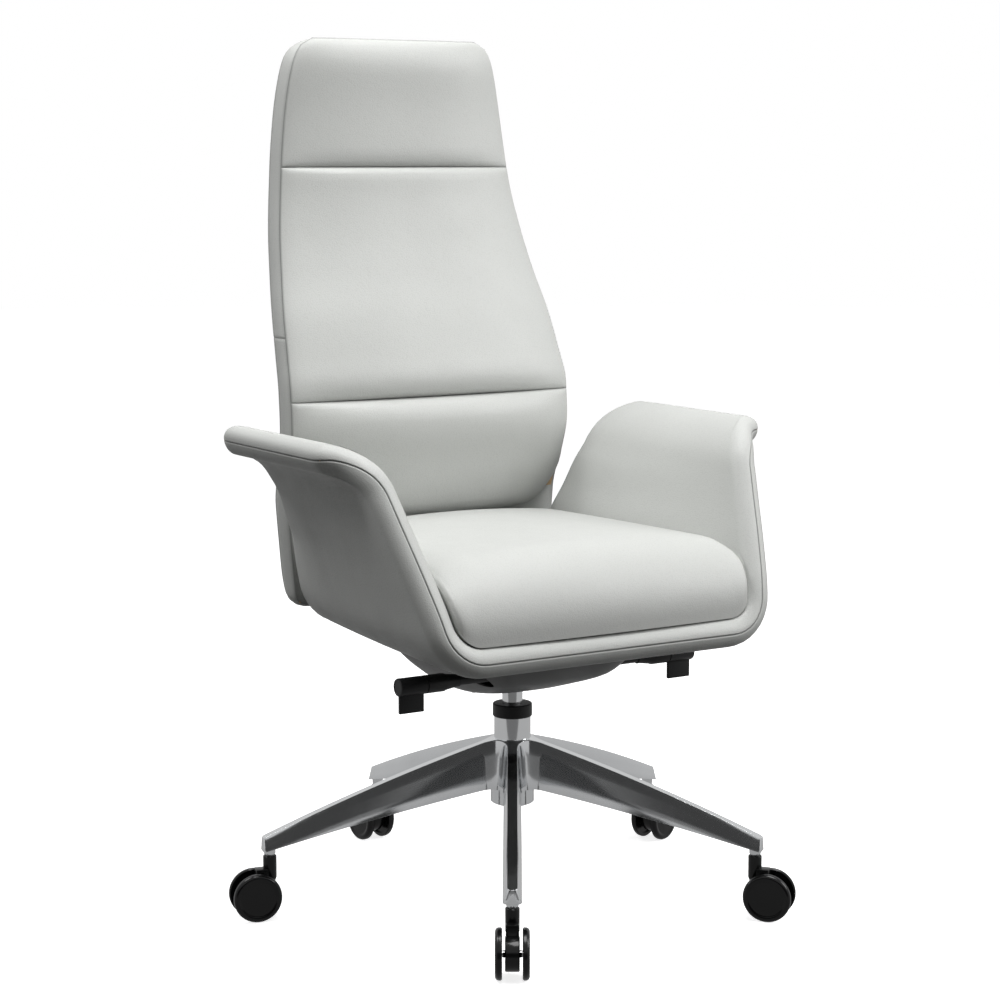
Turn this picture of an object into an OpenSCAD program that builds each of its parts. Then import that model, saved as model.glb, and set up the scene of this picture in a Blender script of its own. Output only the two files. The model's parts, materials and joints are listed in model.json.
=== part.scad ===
// Swivel office chair: five-star base on twin-wheel casters, gas lift, tilting seat
// shell with integral arms, loose seat cushion and a tall upholstered back.
// Origin on the floor at the column axis, +Z up, the sitter faces -Y.

/* [Base] */
// Radius from the column axis to the end of each leg
base_r = 350; // [300:1:400]
// Direction of the first leg, in degrees from -Y
first_leg_deg = -32; // [-36:1:36]
// Width of a leg across its flat top
leg_top_w = 13; // [10:0.5:18]
// Width of a leg across its lower edge
leg_low_w = 24; // [20:0.5:30]
// Wall of the hub around the column
hub_wall = 8; // [6:0.5:14]

/* [Casters] */
// Diameter of a caster wheel
wheel_d = 65; // [50:1:78]
// Thickness of one wheel
wheel_t = 10.4; // [8:0.2:13]
// Width of the body between the two wheels
caster_body_w = 18.3; // [18.2:0.1:22]
// Gap between the body and each wheel
wheel_gap = 3.6; // [2:0.1:5]
// Distance that the axle trails behind the stem
caster_trail = 20; // [16:1:24]
// Diameter of the barrel around the stem
barrel_d = 18; // [16:0.5:18]
// Diameter of the stem
stem_d = 10; // [8:0.5:11]
// Diameter of the wheel axle
axle_d = 8; // [6:0.5:10]

/* [Column] */
// Outer diameter of the column tube
column_d = 50; // [46:1:52]
// Wall of the column tube
column_wall = 2.5; // [2:0.25:3]
// Diameter of the gas cylinder
cylinder_d = 28; // [26:0.5:30]
// Diameter of the piston rod
rod_d = 10; // [8:0.5:12]
// How far the seat can sink below its rest height
lift_down = 15; // [5:1:15]
// How far the seat can rise above its rest height
lift_up = 80; // [60:1:80]

/* [Mechanism] */
// Inner width of the tilt housing
housing_w = 92; // [84:1:96]
// Sheet thickness of the tilt housing
housing_t = 4; // [3:0.5:5]
// Distance of the tilt axle in front of the column
tilt_y = 105; // [98:1:110]
// Diameter of the tilt axle
tilt_axle_d = 10; // [8:0.5:12]
// Largest backward tilt of the seat, in degrees
tilt_max_deg = 10; // [6:1:10]
// Distance of the levers in front of the column
lever_y = 92; // [90:0.5:94]
// Diameter of a lever rod
lever_d = 14; // [12:0.5:14]
// Distance from the column axis to the end of a lever
lever_reach = 231; // [215:1:250]
// Diameter of a lever grip
grip_d = 24; // [20:1:28]

/* [Seat shell] */
// Half width of the flat floor of the shell
floor_half_w = 190; // [176:1:210]
// Radius of the bend from floor to arm, at mid thickness
bend_r = 55; // [45:1:65]
// Lean of the arm walls away from vertical, in degrees
arm_lean_deg = 12.5; // [6:0.1:16]
// Length of the straight arm wall
arm_wall = 165.5; // [130:0.5:190]
// Radius of the outward curl at the top of the arm
curl_r = 56; // [48:1:66]
// How far the curl turns down past level, in degrees
curl_over_deg = 12; // [0:1:16]
// Thickness of the padded shell
shell_t = 39; // [34:1:42]
// Thickness of the plywood core
core_t = 8; // [6:0.5:10]

/* [Cushion and back] */
// Height of the cushion edge above the shell floor
cushion_edge_h = 97; // [80:1:110]
// How much the cushion rises to its middle
cushion_crown = 21; // [10:1:30]
// Height of the back above the shell's mid floor
back_h = 787; // [700:1:850]
// Depth of the side band of the back
band_d = 42; // [36:1:50]
// Thickness of the side band
band_t = 6; // [4:0.5:8]
// Thickness of the plywood back board
board_t = 12; // [9:0.5:15]

/* [Hidden] */
$fn = 48;
leg_count = 5;

run = 0.05;              // radial clearance of a running fit
gap = 0.3;               // gap between faces of pieces that move apart
eps = 0.01;

// Heights, from the floor up
barrel_h = 22;           // barrel of a caster
crown_gap = 2;           // stem that shows between barrel and leg
barrel_top = wheel_d + barrel_h - 1;
leg_z = barrel_top;      // reference height of the base casting
hub_r = column_d / 2 + hub_wall;
hub_z0 = leg_z + 46;
hub_z1 = leg_z + 133;
tube_z0 = leg_z + 44;
tube_z1 = leg_z + 170;
cap_h = 14;
cap_lip = 2;             // the cap stands out past the tube
housing_z = leg_z + 214; // floor of the tilt housing
stem_r = base_r - 10;    // radius of the stems
tip_r = 8;               // boss around a stem
stem_up = 21;            // length of stem in the leg

// Seat heights
plate_t = 4;
plate_z = housing_z + 61.5;
shell_low_z = plate_z + plate_t;
shell_z = shell_low_z + shell_t / 2;
tilt_z = housing_z + 45;
lever_z = housing_z + 33;

// Lift: inner pieces
plug_t = 3;              // end plate of the column tube
bearing_t = 5;
bumper_t = 10;
cyl_z0 = tube_z0 + plug_t + bearing_t + bumper_t + gap * 2 + lift_down;
cyl_z1 = housing_z + 24;
cyl_wall = 2;
cyl_end = 8;             // end plugs of the gas cylinder
pin_d = 5;
pin_top = housing_z + 30;
neck_d = rod_d - 2;
bush_h = 50;
piston_z = cyl_z0 + cyl_end + lift_up + 2;
piston_h = 10;

// Rocker between the height lever and the release pin
rocker_t = 3;
rocker_w = 16;
rocker_y = 38;
rocker_z = pin_top + gap + rocker_t / 2;
rocker_pin_d = 5;

// Points of a circle's arc in a plane, from angle a0 to a1
function arc(cx, cy, r, a0, a1, n) =
    [for (i = [0:n]) let (a = a0 + (a1 - a0) * i / n) [cx + r * cos(a), cy + r * sin(a)]];

// A value read from rows of a table between its key points
function read(table, key, column) = lookup(key, [for (row = table) [row[0], row[column]]]);

// Closed solid between two grids of points of the same size; its side faces are split
// along the same diagonals as a ring_solid that runs round it
module grid_solid(top, low) {
    rows = len(top);
    cols = len(top[0]);
    count = rows * cols;
    function at(layer, i, j) = layer * count + i * cols + j;
    points = concat([for (row = top) for (p = row) p], [for (row = low) for (p = row) p]);
    sheet_faces = [for (i = [0:rows - 2]) for (j = [0:cols - 2]) for (layer = [0, 1])
        let (a = at(layer, i, j), b = at(layer, i, j + 1),
             c = at(layer, i + 1, j + 1), d = at(layer, i + 1, j))
        for (f = layer == 0 ? [[a, b, c], [a, c, d]] : [[a, c, b], [a, d, c]]) f];
    row_faces = [for (j = [0:cols - 2]) for (i = [0, rows - 1])
        let (a = at(0, i, j), b = at(0, i, j + 1), c = at(1, i, j + 1), d = at(1, i, j))
        for (f = i == 0 ? [[a, d, b], [d, c, b]] : [[a, c, d], [a, b, c]]) f];
    col_faces = [for (i = [0:rows - 2]) for (j = [0, cols - 1])
        let (a = at(0, i, j), b = at(0, i + 1, j), c = at(1, i + 1, j), d = at(1, i, j))
        for (f = j == 0 ? [[a, b, c], [a, c, d]] : [[a, d, b], [d, c, b]]) f];
    polyhedron(points, concat(sheet_faces, row_faces, col_faces));
}

// Closed loop of solid swept through rings of points; the last ring joins the first.
// Side number flip, if any, is split along its other diagonal.
module ring_solid(rings, flip = -1) {
    sides = len(rings[0]);
    total = len(rings);
    faces = [for (i = [0:total - 1]) for (j = [0:sides - 1])
        let (k = (i + 1) % total, m = (j + 1) % sides,
             a = i * sides + j, b = i * sides + m, c = k * sides + m, d = k * sides + j)
        for (f = j == flip ? [[a, b, d], [b, c, d]] : [[a, b, c], [a, c, d]]) f];
    polyhedron([for (ring = rings) for (p = ring) p], faces);
}

// Solid swept through rings of points, with flat ends
module tube_solid(rings) {
    sides = len(rings[0]);
    last = len(rings) - 1;
    polyhedron([for (ring = rings) for (p = ring) p],
        concat([[for (j = [sides - 1:-1:0]) j]], [[for (j = [0:sides - 1]) last * sides + j]],
            [for (i = [0:last - 1]) for (j = [0:sides - 1])
                let (m = (j + 1) % sides, a = i * sides + j, b = i * sides + m)
                for (f = [[a, b + sides, a + sides], [a, b, b + sides]]) f]));
}

// ---------------------------------------------------------------- base

// Top and lower edge of a leg at radius r: both fall in a shallow arch
function leg_top(r) = leg_z + 144 - 0.27 * r - 0.000205 * r * r;
function leg_low(r) = leg_z + 74.5 - 0.155 * r - 0.000115 * r * r;

module leg() {
    stations = [for (i = [0:8]) 20 + (base_r - 20) * i / 8];
    rings = [for (r = stations)
        let (t = leg_top(r), b = leg_low(r), w = leg_top_w / 2, v = leg_low_w / 2, m = (t - b) * 0.3)
        [[r, -w, t], [r, w, t], [r, v, b + m], [r, v - 2, b], [r, 2 - v, b], [r, -v, b + m]]];
    tube_solid(rings);
}

// Places a child at each leg, with the child's +X pointing out along the leg
module at_leg(i) rotate([0, 0, first_leg_deg - 90 + 360 / leg_count * (i - 1)]) children();

module star_base() color("silver") difference() {
    union() {
        translate([0, 0, hub_z0]) cylinder(h = hub_z1 - hub_z0, r = hub_r);
        for (i = [1:leg_count]) at_leg(i) {
            leg();
            translate([stem_r, 0, leg_z + crown_gap]) cylinder(h = stem_up - 4, r = tip_r);
        }
    }
    translate([0, 0, hub_z0 - 30]) cylinder(h = hub_z1 - hub_z0 + 60, d = column_d);
    for (i = [1:leg_count]) at_leg(i)
        translate([stem_r, 0, leg_z]) cylinder(h = stem_up + gap, d = stem_d + 2 * run);
}

// ---------------------------------------------------------------- casters

module caster_stem() color("gainsboro") translate([0, 0, barrel_top - barrel_h]) {
    cylinder(h = barrel_h + stem_up, d = stem_d);
}

body_r = 22;             // curved middle of the body around the axle

module caster_body() color("#151515") difference() {
    union() {
        translate([0, 0, barrel_top - barrel_h - 18]) cylinder(h = barrel_h + 18, d = barrel_d);
        translate([caster_trail, 0, wheel_d / 2]) rotate([90, 0, 0])
            cylinder(h = caster_body_w, r = body_r, center = true);
        translate([0, -caster_body_w / 2, wheel_d / 2])
            cube([caster_trail, caster_body_w, barrel_top - barrel_h - wheel_d / 2 + 4]);
    }
    translate([0, 0, barrel_top - barrel_h]) cylinder(h = barrel_h + 1, d = stem_d);
    translate([caster_trail, 0, wheel_d / 2]) rotate([90, 0, 0])
        cylinder(h = caster_body_w + 2, d = axle_d, center = true);
}

axle_half = caster_body_w / 2 + wheel_gap + wheel_t - 3;

module caster_axle() color("gray") translate([caster_trail, 0, wheel_d / 2]) rotate([90, 0, 0])
    cylinder(h = 2 * axle_half, d = axle_d, center = true);

// A wheel lies on the side given by side, +1 or -1
module caster_wheel(side) color("#101010")
    translate([caster_trail, side * (caster_body_w / 2 + wheel_gap), wheel_d / 2])
        rotate([-90 * side, 0, 0]) difference() {
            rotate_extrude($fn = 96) polygon(concat(
                [[0, 0], [wheel_d / 2 - 1.5, 0], [wheel_d / 2, 1.5]],
                arc(wheel_d / 2 - 5, wheel_t - 5, 5, 0, 80, 5),
                [[wheel_d / 4, wheel_t - 0.6], [0, wheel_t - 0.6]]));
            translate([0, 0, -1]) cylinder(h = wheel_t - 2 + gap, d = axle_d + 2 * run);
            translate([0, 0, -1]) difference() {
                cylinder(h = 4, r = wheel_d / 2 - 5);
                translate([0, 0, -1]) cylinder(h = 6, r = 9);
            }
        }

module caster_piece(i, piece) at_leg(i) translate([stem_r, 0, 0]) {
    if (piece == "stem") caster_stem();
    if (piece == "body") caster_body();
    if (piece == "axle") caster_axle();
    if (piece == "wheel_left") caster_wheel(1);
    if (piece == "wheel_right") caster_wheel(-1);
}

// ---------------------------------------------------------------- column and gas lift

module ring(z0, h, outer_d, inner_d) translate([0, 0, z0]) difference() {
    cylinder(h = h, d = outer_d);
    translate([0, 0, -1]) cylinder(h = h + 2, d = inner_d);
}

tube_bore = column_d - 2 * column_wall;

module column_tube() color("lightgray") {
    ring(tube_z0 + plug_t, tube_z1 - tube_z0 - plug_t, column_d, tube_bore);
    ring(tube_z0, plug_t, column_d, neck_d + 2 * run);
}

spigot_h = 4;

module column_cap() color("#1c1c1c") {
    ring(tube_z1, cap_h, column_d + 2 * cap_lip, cylinder_d + 2 * gap);
    ring(tube_z1 - spigot_h, spigot_h, tube_bore, cylinder_d + 2 * gap);
}

module guide_bush() color("ivory")
    ring(tube_z1 - spigot_h - bush_h, bush_h, tube_bore, cylinder_d + 2 * run);

module thrust_bearing() color("gray")
    ring(tube_z0 + plug_t, bearing_t, tube_bore - 8, rod_d + 2 * run);

module rubber_bumper() color("#222222")
    ring(tube_z0 + plug_t + bearing_t + gap, bumper_t, tube_bore - 16, rod_d);

module retaining_clip() color("dimgray") ring(tube_z0 - gap - 1.5, 1.5, 16, neck_d);

module piston_rod() color("silver") {
    translate([0, 0, tube_z0 - 5]) cylinder(h = 5 + plug_t + gap, d = neck_d);
    translate([0, 0, tube_z0 + plug_t + gap])
        cylinder(h = piston_z - tube_z0 - plug_t - gap, d = rod_d);
    translate([0, 0, piston_z]) cylinder(h = piston_h, d = cylinder_d - 2 * cyl_wall - 2 * run);
}

module gas_cylinder() color("gainsboro") translate([0, 0, cyl_z0]) difference() {
    cylinder(h = cyl_z1 - cyl_z0, d = cylinder_d);
    translate([0, 0, -1]) cylinder(h = cyl_end + 2, d = rod_d + 2 * run);
    translate([0, 0, cyl_end])
        cylinder(h = cyl_z1 - cyl_z0 - 2 * cyl_end, d = cylinder_d - 2 * cyl_wall);
    translate([0, 0, cyl_z1 - cyl_z0 - cyl_end - 1]) cylinder(h = cyl_end + 2, d = pin_d + 2 * run);
}

pin_travel = 4;

module release_pin() color("silver") translate([0, 0, cyl_z1 - cyl_end - 6])
    cylinder(h = pin_top - cyl_z1 + cyl_end + 6, d = pin_d);

// ---------------------------------------------------------------- tilt mechanism

// Side outline of the tilt housing, as [y, z]
housing_front = -tilt_y - 12;
housing_rear = 62;
function housing_top(y) = plate_z - 1 - tan(tilt_max_deg) * (y + tilt_y);
housing_outline = [
    [housing_front, tilt_z - 14], [-60, housing_z + 6], [-30, housing_z], [housing_rear, housing_z],
    [housing_rear, housing_top(housing_rear) - 4], [0, housing_top(0) - 2],
    [-tilt_y + 14, tilt_z + 9], [housing_front, tilt_z + 9]];
housing_inside = [
    [housing_front + housing_t, tilt_z - 10], [-60, housing_z + 6 + housing_t],
    [-30, housing_z + housing_t], [housing_rear - housing_t, housing_z + housing_t],
    [housing_rear - housing_t, plate_z], [housing_front + housing_t, plate_z]];
socket_d = cylinder_d + 12;
lever_boss_d = lever_d + 6;
lever_boss_l = 10;

// Extrudes a [y, z] outline along X, centred
module along_x(w) rotate([90, 0, 90]) linear_extrude(w, center = true) children();

module across_x(y, z, d, w) translate([0, y, z]) rotate([0, 90, 0])
    cylinder(h = w, d = d, center = true);

module tilt_housing() color("#333333") difference() {
    union() {
        difference() {
            along_x(housing_w + 2 * housing_t) polygon(housing_outline);
            along_x(housing_w) polygon(housing_inside);
        }
        translate([0, 0, housing_z]) cylinder(h = cyl_z1 - housing_z, d = socket_d);
        for (side = [-1, 1])
            translate([side * (housing_w / 2 - lever_boss_l / 2 + eps), 0, 0])
                across_x(-lever_y, lever_z, lever_boss_d, lever_boss_l);
    }
    translate([0, 0, housing_z - 1]) cylinder(h = cyl_z1 - housing_z + 2, d = cylinder_d);
    across_x(-tilt_y, tilt_z, tilt_axle_d + 2 * run, housing_w + 20);
    across_x(-lever_y, lever_z, lever_d + 2 * run, housing_w + 20);
    across_x(-rocker_y, rocker_z, rocker_pin_d, housing_w + 20);
}

module rocker_pin() color("silver")
    across_x(-rocker_y, rocker_z, rocker_pin_d, housing_w + 2 * housing_t);

rocker_front = -lever_y + 10;

module release_rocker() color("slategray") difference() {
    union() {
        translate([-rocker_w / 2, rocker_front, rocker_z - rocker_t / 2])
            cube([rocker_w, -rocker_front + 6, rocker_t]);
        across_x(-rocker_y, rocker_z, rocker_pin_d + 5, rocker_w);
    }
    across_x(-rocker_y, rocker_z, rocker_pin_d + 2 * run, rocker_w + 2);
}

ear_t = 4;
ear_r = 10;
ear_x = housing_w / 2 + housing_t + 1;

module tilt_axle() color("silver") across_x(-tilt_y, tilt_z, tilt_axle_d, 2 * (ear_x + ear_t) + 4);

// Round wire wound into a spring with closed ends, between two heights
module spring(z0, z1, coil_d, wire_d, turns) {
    steps = turns * 10;
    rings = [for (i = [0:steps]) let (a = 360 * i * turns / steps)
        let (z = z0 + wire_d / 2 + (z1 - z0 - wire_d) * i / steps)
        [for (j = [0:5]) let (b = 60 * j, r = coil_d / 2 + wire_d / 2 * cos(b))
            [r * cos(a), r * sin(a), z + wire_d / 2 * sin(b)]]];
    tube_solid(rings);
}

spring_y = 42;
spring_x = 28;

module tilt_springs() color("darkslategray") for (side = [-1, 1])
    translate([side * spring_x, spring_y, 0])
        spring(housing_z + housing_t + gap, plate_z - gap, 20, 4, 5);

// Levers: the height lever is on the sitter's right, -X
grip_l = 68;
grip_taper = 18;
grip_depth = 26;         // rod held inside the grip
lever_outer = lever_reach - grip_l - grip_taper;
lug_w = 8;
lug_root = 4;            // reach of the lug's two ends from the axis of the rod
lug_r = 16;
lug_t = 5;

module lever_rod(side, inner_x) translate([0, -lever_y, lever_z]) rotate([0, 90 * side, 0])
    translate([0, 0, inner_x]) cylinder(h = lever_outer + grip_depth - inner_x, d = lever_d);

module height_lever() color("#181818") {
    lever_rod(-1, 4);
    // Lug that lifts the front of the rocker
    hull() {
        for (y = [lug_root, lug_r]) translate([-4 - lug_w, -lever_y + y, pin_top - gap - lug_t / 2])
            rotate([0, 90, 0]) cylinder(h = lug_w, d = lug_t, $fn = 32);
    }
}

module tilt_lever() color("#181818") {
    lever_rod(1, 12);
    // Finger that blocks the seat plate
    translate([12, -lever_y - 3, lever_z]) cube([8, 6, 14]);
}

paddle_w = 36;
paddle_h = 35;           // from the axis of the grip down
paddle_t = 5;
grip_joint = 40;         // end segment, beyond the split line
split_w = 0.8;

module grip(side) translate([0, -lever_y, lever_z]) rotate([0, 90 * side, 0]) difference() {
    union() {
        translate([0, 0, lever_outer]) cylinder(h = grip_taper, d1 = lever_d + 1, d2 = grip_d);
        translate([0, 0, lever_outer + grip_taper])
            rotate_extrude() polygon(concat(
                [[0, 0], [grip_d / 2, 0]],
                [for (p = [[0, -split_w / 2], [-split_w, -split_w / 2], [-split_w, split_w / 2],
                    [0, split_w / 2]]) [grip_d / 2 + p[0], grip_l - grip_joint + p[1]]],
                arc(grip_d / 2 - 2, grip_l - 2, 2, 0, 90, 4), [[0, grip_l]]));
        translate([side > 0 ? 0 : -paddle_h, -paddle_t / 2, lever_reach - paddle_w - 2])
            cube([paddle_h, paddle_t, paddle_w]);
    }
    translate([0, 0, lever_outer - 1]) cylinder(h = grip_depth + 1, d = lever_d);
}

module height_grip() color("#1b1b1b") grip(-1);
module tilt_grip() color("#1b1b1b") grip(1);

// ---------------------------------------------------------------- seat frame

plate_half_w = 85;
plate_front = -130;
plate_rear = 118;
post_spots = [[-68, -12], [68, -12], [-58, 72], [58, 72]];
post_d = 12;
bolt_spots = [[-62, -100], [62, -100], [-62, 44], [62, 44]];
bolt_d = 8;
bar_w = 70;
bar_t = 6;
bar_bolts_y = [88, 106];
back_bolt_z = [58, 92];  // above the shell's lower face
back_bolt_x = 22;

// Bowl under the seat: half widths and ends at three heights above the housing floor
cover_t = 3;
cover_low = [82, -52, 108, -4];
cover_mid = [114, -128, 146, 24];
cover_top = [146, -162, 176, 65.4];
cover_screw_z = housing_z + cover_low[3];
cover_floor_z = cover_screw_z + cover_t;
screw_l = 16;
screw_d = 4;

module rounded_slab(half_w, y0, y1, z, r) translate([0, 0, z]) linear_extrude(0.02)
    hull() for (x = [r - half_w, half_w - r]) for (y = [y0 + r, y1 - r])
        translate([x, y]) circle(r = r, $fn = 32);

module bowl(inset, drop) hull() for (c = [cover_low, cover_mid, cover_top])
    rounded_slab(c[0] - inset, c[1] + inset, c[2] - inset,
        housing_z + c[3] + (c == cover_top ? drop : c == cover_low ? inset : inset * 0.6),
        46 - inset);

lever_slot = 30;         // way out for a lever
cover_way = 62;          // way out for the gas cylinder

module under_cover() color("darkgray") difference() {
    bowl(0, 0);
    bowl(cover_t, 1);
    // Way out for the gas cylinder, long enough for the tilt
    hull() for (y = [-8, 30])
        translate([0, y, housing_z - 10]) cylinder(h = 30, d = cover_way);
    // Ways out for the levers
    for (side = [-1, 1]) translate([side * 130, -lever_y, lever_z]) rotate([0, 90, 0])
        cylinder(h = 130, d = lever_slot, center = true);
    // Notch for the back bar
    translate([-bar_w / 2 - 1, 100, plate_z - bar_t - 1]) cube([bar_w + 2, 100, 30]);
    for (p = post_spots) translate([p[0], p[1], cover_screw_z - 5])
        cylinder(h = 15, d = screw_d + 0.4);
}

module cover_screws() color("dimgray") for (p = post_spots) translate([p[0], p[1], 0]) {
    translate([0, 0, cover_screw_z - 2]) cylinder(h = 2, d = 2 * screw_d);
    translate([0, 0, cover_screw_z]) cylinder(h = screw_l, d = screw_d);
}

module seat_plate() color("#2b2b2b") difference() {
    union() {
        translate([-plate_half_w, plate_front, plate_z])
            cube([2 * plate_half_w, plate_rear - plate_front, plate_t]);
        for (side = [-1, 1]) translate([side * (ear_x + ear_t / 2), 0, 0]) {
            across_x(-tilt_y, tilt_z, 2 * ear_r, ear_t);
            translate([-ear_t / 2, -tilt_y - ear_r, tilt_z])
                cube([ear_t, 2 * ear_r, plate_z - tilt_z + 1]);
        }
        for (p = post_spots) translate([p[0], p[1], cover_floor_z])
            cylinder(h = plate_z - cover_floor_z + 1, d = post_d);
    }
    across_x(-tilt_y, tilt_z, tilt_axle_d, 2 * plate_half_w);
    for (p = post_spots) translate([p[0], p[1], cover_screw_z]) cylinder(h = screw_l, d = screw_d);
    for (p = bolt_spots) translate([p[0], p[1], plate_z - 1]) cylinder(h = 6, d = bolt_d);
    for (y = bar_bolts_y) for (x = [-back_bolt_x, back_bolt_x])
        translate([x, y, plate_z - 1]) cylinder(h = 6, d = bolt_d);
}

bolt_l = plate_t + shell_t / 2 - core_t / 2 + core_t - 1;
head_h = 5;

module bolt(l) {
    translate([0, 0, -head_h]) cylinder(h = head_h, d = 13, $fn = 6);
    cylinder(h = l, d = bolt_d);
}

module frame_bolts() color("dimgray") {
    for (p = bolt_spots) translate([p[0], p[1], plate_z]) bolt(bolt_l);
    for (y = bar_bolts_y) for (x = [-back_bolt_x, back_bolt_x])
        translate([x, y, plate_z - bar_t]) bolt(bar_t + plate_t - 1);
    for (z = back_bolt_z) for (x = [-back_bolt_x, back_bolt_x])
        translate([x, back_y0 - bar_t, shell_low_z + z]) rotate([-90, 0, 0])
            bolt(bar_t + board_t - 1);
}

// Steel bar from the seat plate back and up to the back board
bar_bend = 20;
bar_rise = 120;

module back_bar() color("#2b2b2b") difference() {
    along_x(bar_w) polygon(concat(
        [[plate_rear - 40, plate_z - bar_t]],
        arc(back_y0 - bar_bend, plate_z - bar_t + bar_bend, bar_bend, -90, 0, 6),
        [[back_y0, shell_low_z + bar_rise], [back_y0 - bar_t, shell_low_z + bar_rise]],
        arc(back_y0 - bar_bend, plate_z - bar_t + bar_bend, bar_bend - bar_t, 0, -90, 6),
        [[plate_rear - 40, plate_z]]));
    for (y = bar_bolts_y) for (x = [-back_bolt_x, back_bolt_x])
        translate([x, y, plate_z - bar_t - 1]) cylinder(h = bar_t + 2, d = bolt_d);
    for (z = back_bolt_z) for (x = [-back_bolt_x, back_bolt_x])
        translate([x, back_y0 - bar_t - 1, shell_low_z + z]) rotate([-90, 0, 0])
            cylinder(h = bar_t + 2, d = bolt_d);
}

// ---------------------------------------------------------------- seat shell

// Lengths along the half profile, from the middle of the floor to the arm's edge
bend_deg = 90 - arm_lean_deg;
bend_len = bend_r * bend_deg * PI / 180;
curl_len = curl_r * (bend_deg + curl_over_deg) * PI / 180;
s_bend = floor_half_w;
s_wall = s_bend + bend_len;
s_curl = s_wall + arm_wall;
s_edge = s_curl + curl_len;
bend_end = [floor_half_w + bend_r * sin(bend_deg), bend_r * (1 - cos(bend_deg))];
wall_end = bend_end + arm_wall * [cos(bend_deg), sin(bend_deg)];

// Point and heading on the half profile at length s, as [x, z, heading]
function profile(s) =
    s <= s_bend ? [s, 0, 0]
    : s <= s_wall ? let (a = (s - s_bend) / bend_r * 180 / PI)
        [floor_half_w + bend_r * sin(a), bend_r * (1 - cos(a)), a]
    : s <= s_curl ? [bend_end[0] + (s - s_wall) * cos(bend_deg),
        bend_end[1] + (s - s_wall) * sin(bend_deg), bend_deg]
    : let (a = bend_deg - (s - s_curl) / curl_r * 180 / PI)
        [wall_end[0] + curl_r * (sin(bend_deg) - sin(a)),
         wall_end[1] + curl_r * (cos(a) - cos(bend_deg)), a];

// Front and rear edge of the shell by height above its floor, as [height, front y, rear y]
edge_table = [[0, -250, 228], [33, -240, 230], [66, -229, 229], [97, -214.5, 224],
    [130, -198.5, 215], [168, -178.5, 205.5], [208, -158, 199.5], [238, -138, 195], [248.5, -98, 186]];
drawn_edge_h = 248.5;
edge_height = wall_end[1] + curl_r * (1 - cos(bend_deg));

// The table is for the drawn height of the arms and stretches with them
function edge_y(h, column) = read(edge_table, h * drawn_edge_h / edge_height, column);

// The arms close in towards the back: share of the width lost at the rear edge, by height
taper_table = [[0, 0.2], [105, 0.19], [145, 0.152], [180, 0.122], [205, 0.081], [225, 0.056],
    [245, 0.017], [248.5, 0]];
function taper(h, y) = let (y0 = edge_y(h, 1),
    share = max(0, min(1, (y - y0) / (edge_y(h, 2) - y0))))
    1 - read(taper_table, h * drawn_edge_h / edge_height, 1) * pow(share, 1.5);

rim_r = shell_t / 2;
rim_steps = [0, 5, 12, rim_r];
function rim_share(d) = d >= rim_r ? 1 : max(0.32, sqrt(1 - pow(1 - d / rim_r, 2)));
half_s = concat(
    [0, floor_half_w / 3, floor_half_w * 2 / 3],
    [for (i = [0:3]) s_bend + bend_len * i / 4],
    [s_wall, s_wall + arm_wall / 3, s_wall + arm_wall * 2 / 3],
    [for (i = [0:3]) s_curl + (curl_len - rim_r) * i / 4],
    [for (i = [3:-1:0]) s_edge - rim_steps[i]]);
half_count = len(half_s);
shell_s = concat([for (i = [half_count - 1:-1:1]) -half_s[i]], half_s);

// Stations from front to rear: [share of the length, distance from that edge]
shell_v = concat([for (d = rim_steps) [0, d]], [[0.2, rim_r], [0.4, rim_r], [0.6, rim_r],
    [0.8, rim_r]], [for (i = [3:-1:0]) [1, -rim_steps[i]]]);

// Point of the shell at station s across and v along, offset off from mid thickness
function shell_point(s, v, off) =
    let (p = profile(abs(s)), sign_x = s < 0 ? -1 : 1,
         y0 = edge_y(p[1], 1), y1 = edge_y(p[1], 2),
         y = v[0] == 0 ? y0 + v[1] : v[0] == 1 ? y1 + v[1]
             : y0 + rim_r + (y1 - y0 - 2 * rim_r) * v[0])
    [sign_x * (p[0] - off * sin(p[2])) * taper(p[1], y), y, shell_z + p[1] + off * cos(p[2])];

// Half thickness of the padded shell at a station
function half_t(s, v) = rim_r * min(rim_share(s_edge - abs(s)), rim_share(abs(v[1])));

function shell_grid(ss, vs, sign, pad) = [for (s = ss) [for (v = vs)
    shell_point(s, v, sign * (pad ? half_t(s, v) : core_t / 2))]];
function inner_part(list) = [for (i = [1:len(list) - 2]) list[i]];

module bolt_holes() for (p = bolt_spots) translate([p[0], p[1], plate_z])
    cylinder(h = bolt_l, d = bolt_d);

module shell_core() color("burlywood") difference() {
    grid_solid(shell_grid(inner_part(shell_s), inner_part(shell_v), 1, false),
        shell_grid(inner_part(shell_s), inner_part(shell_v), -1, false));
    bolt_holes();
}

module shell_outer_pad() color("lightgray") difference() {
    grid_solid(shell_grid(shell_s, shell_v, -1, false), shell_grid(shell_s, shell_v, -1, true));
    bolt_holes();
}

module shell_inner_pad() color("whitesmoke")
    grid_solid(shell_grid(shell_s, shell_v, 1, true), shell_grid(shell_s, shell_v, 1, false));

// Rim strip that closes the edge of the core all round
function rim_ring(s0, v0, s1, v1) = [shell_point(s0, v0, core_t / 2),
    shell_point(s1, v1, core_t / 2), shell_point(s1, v1, -core_t / 2),
    shell_point(s0, v0, -core_t / 2)];

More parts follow.
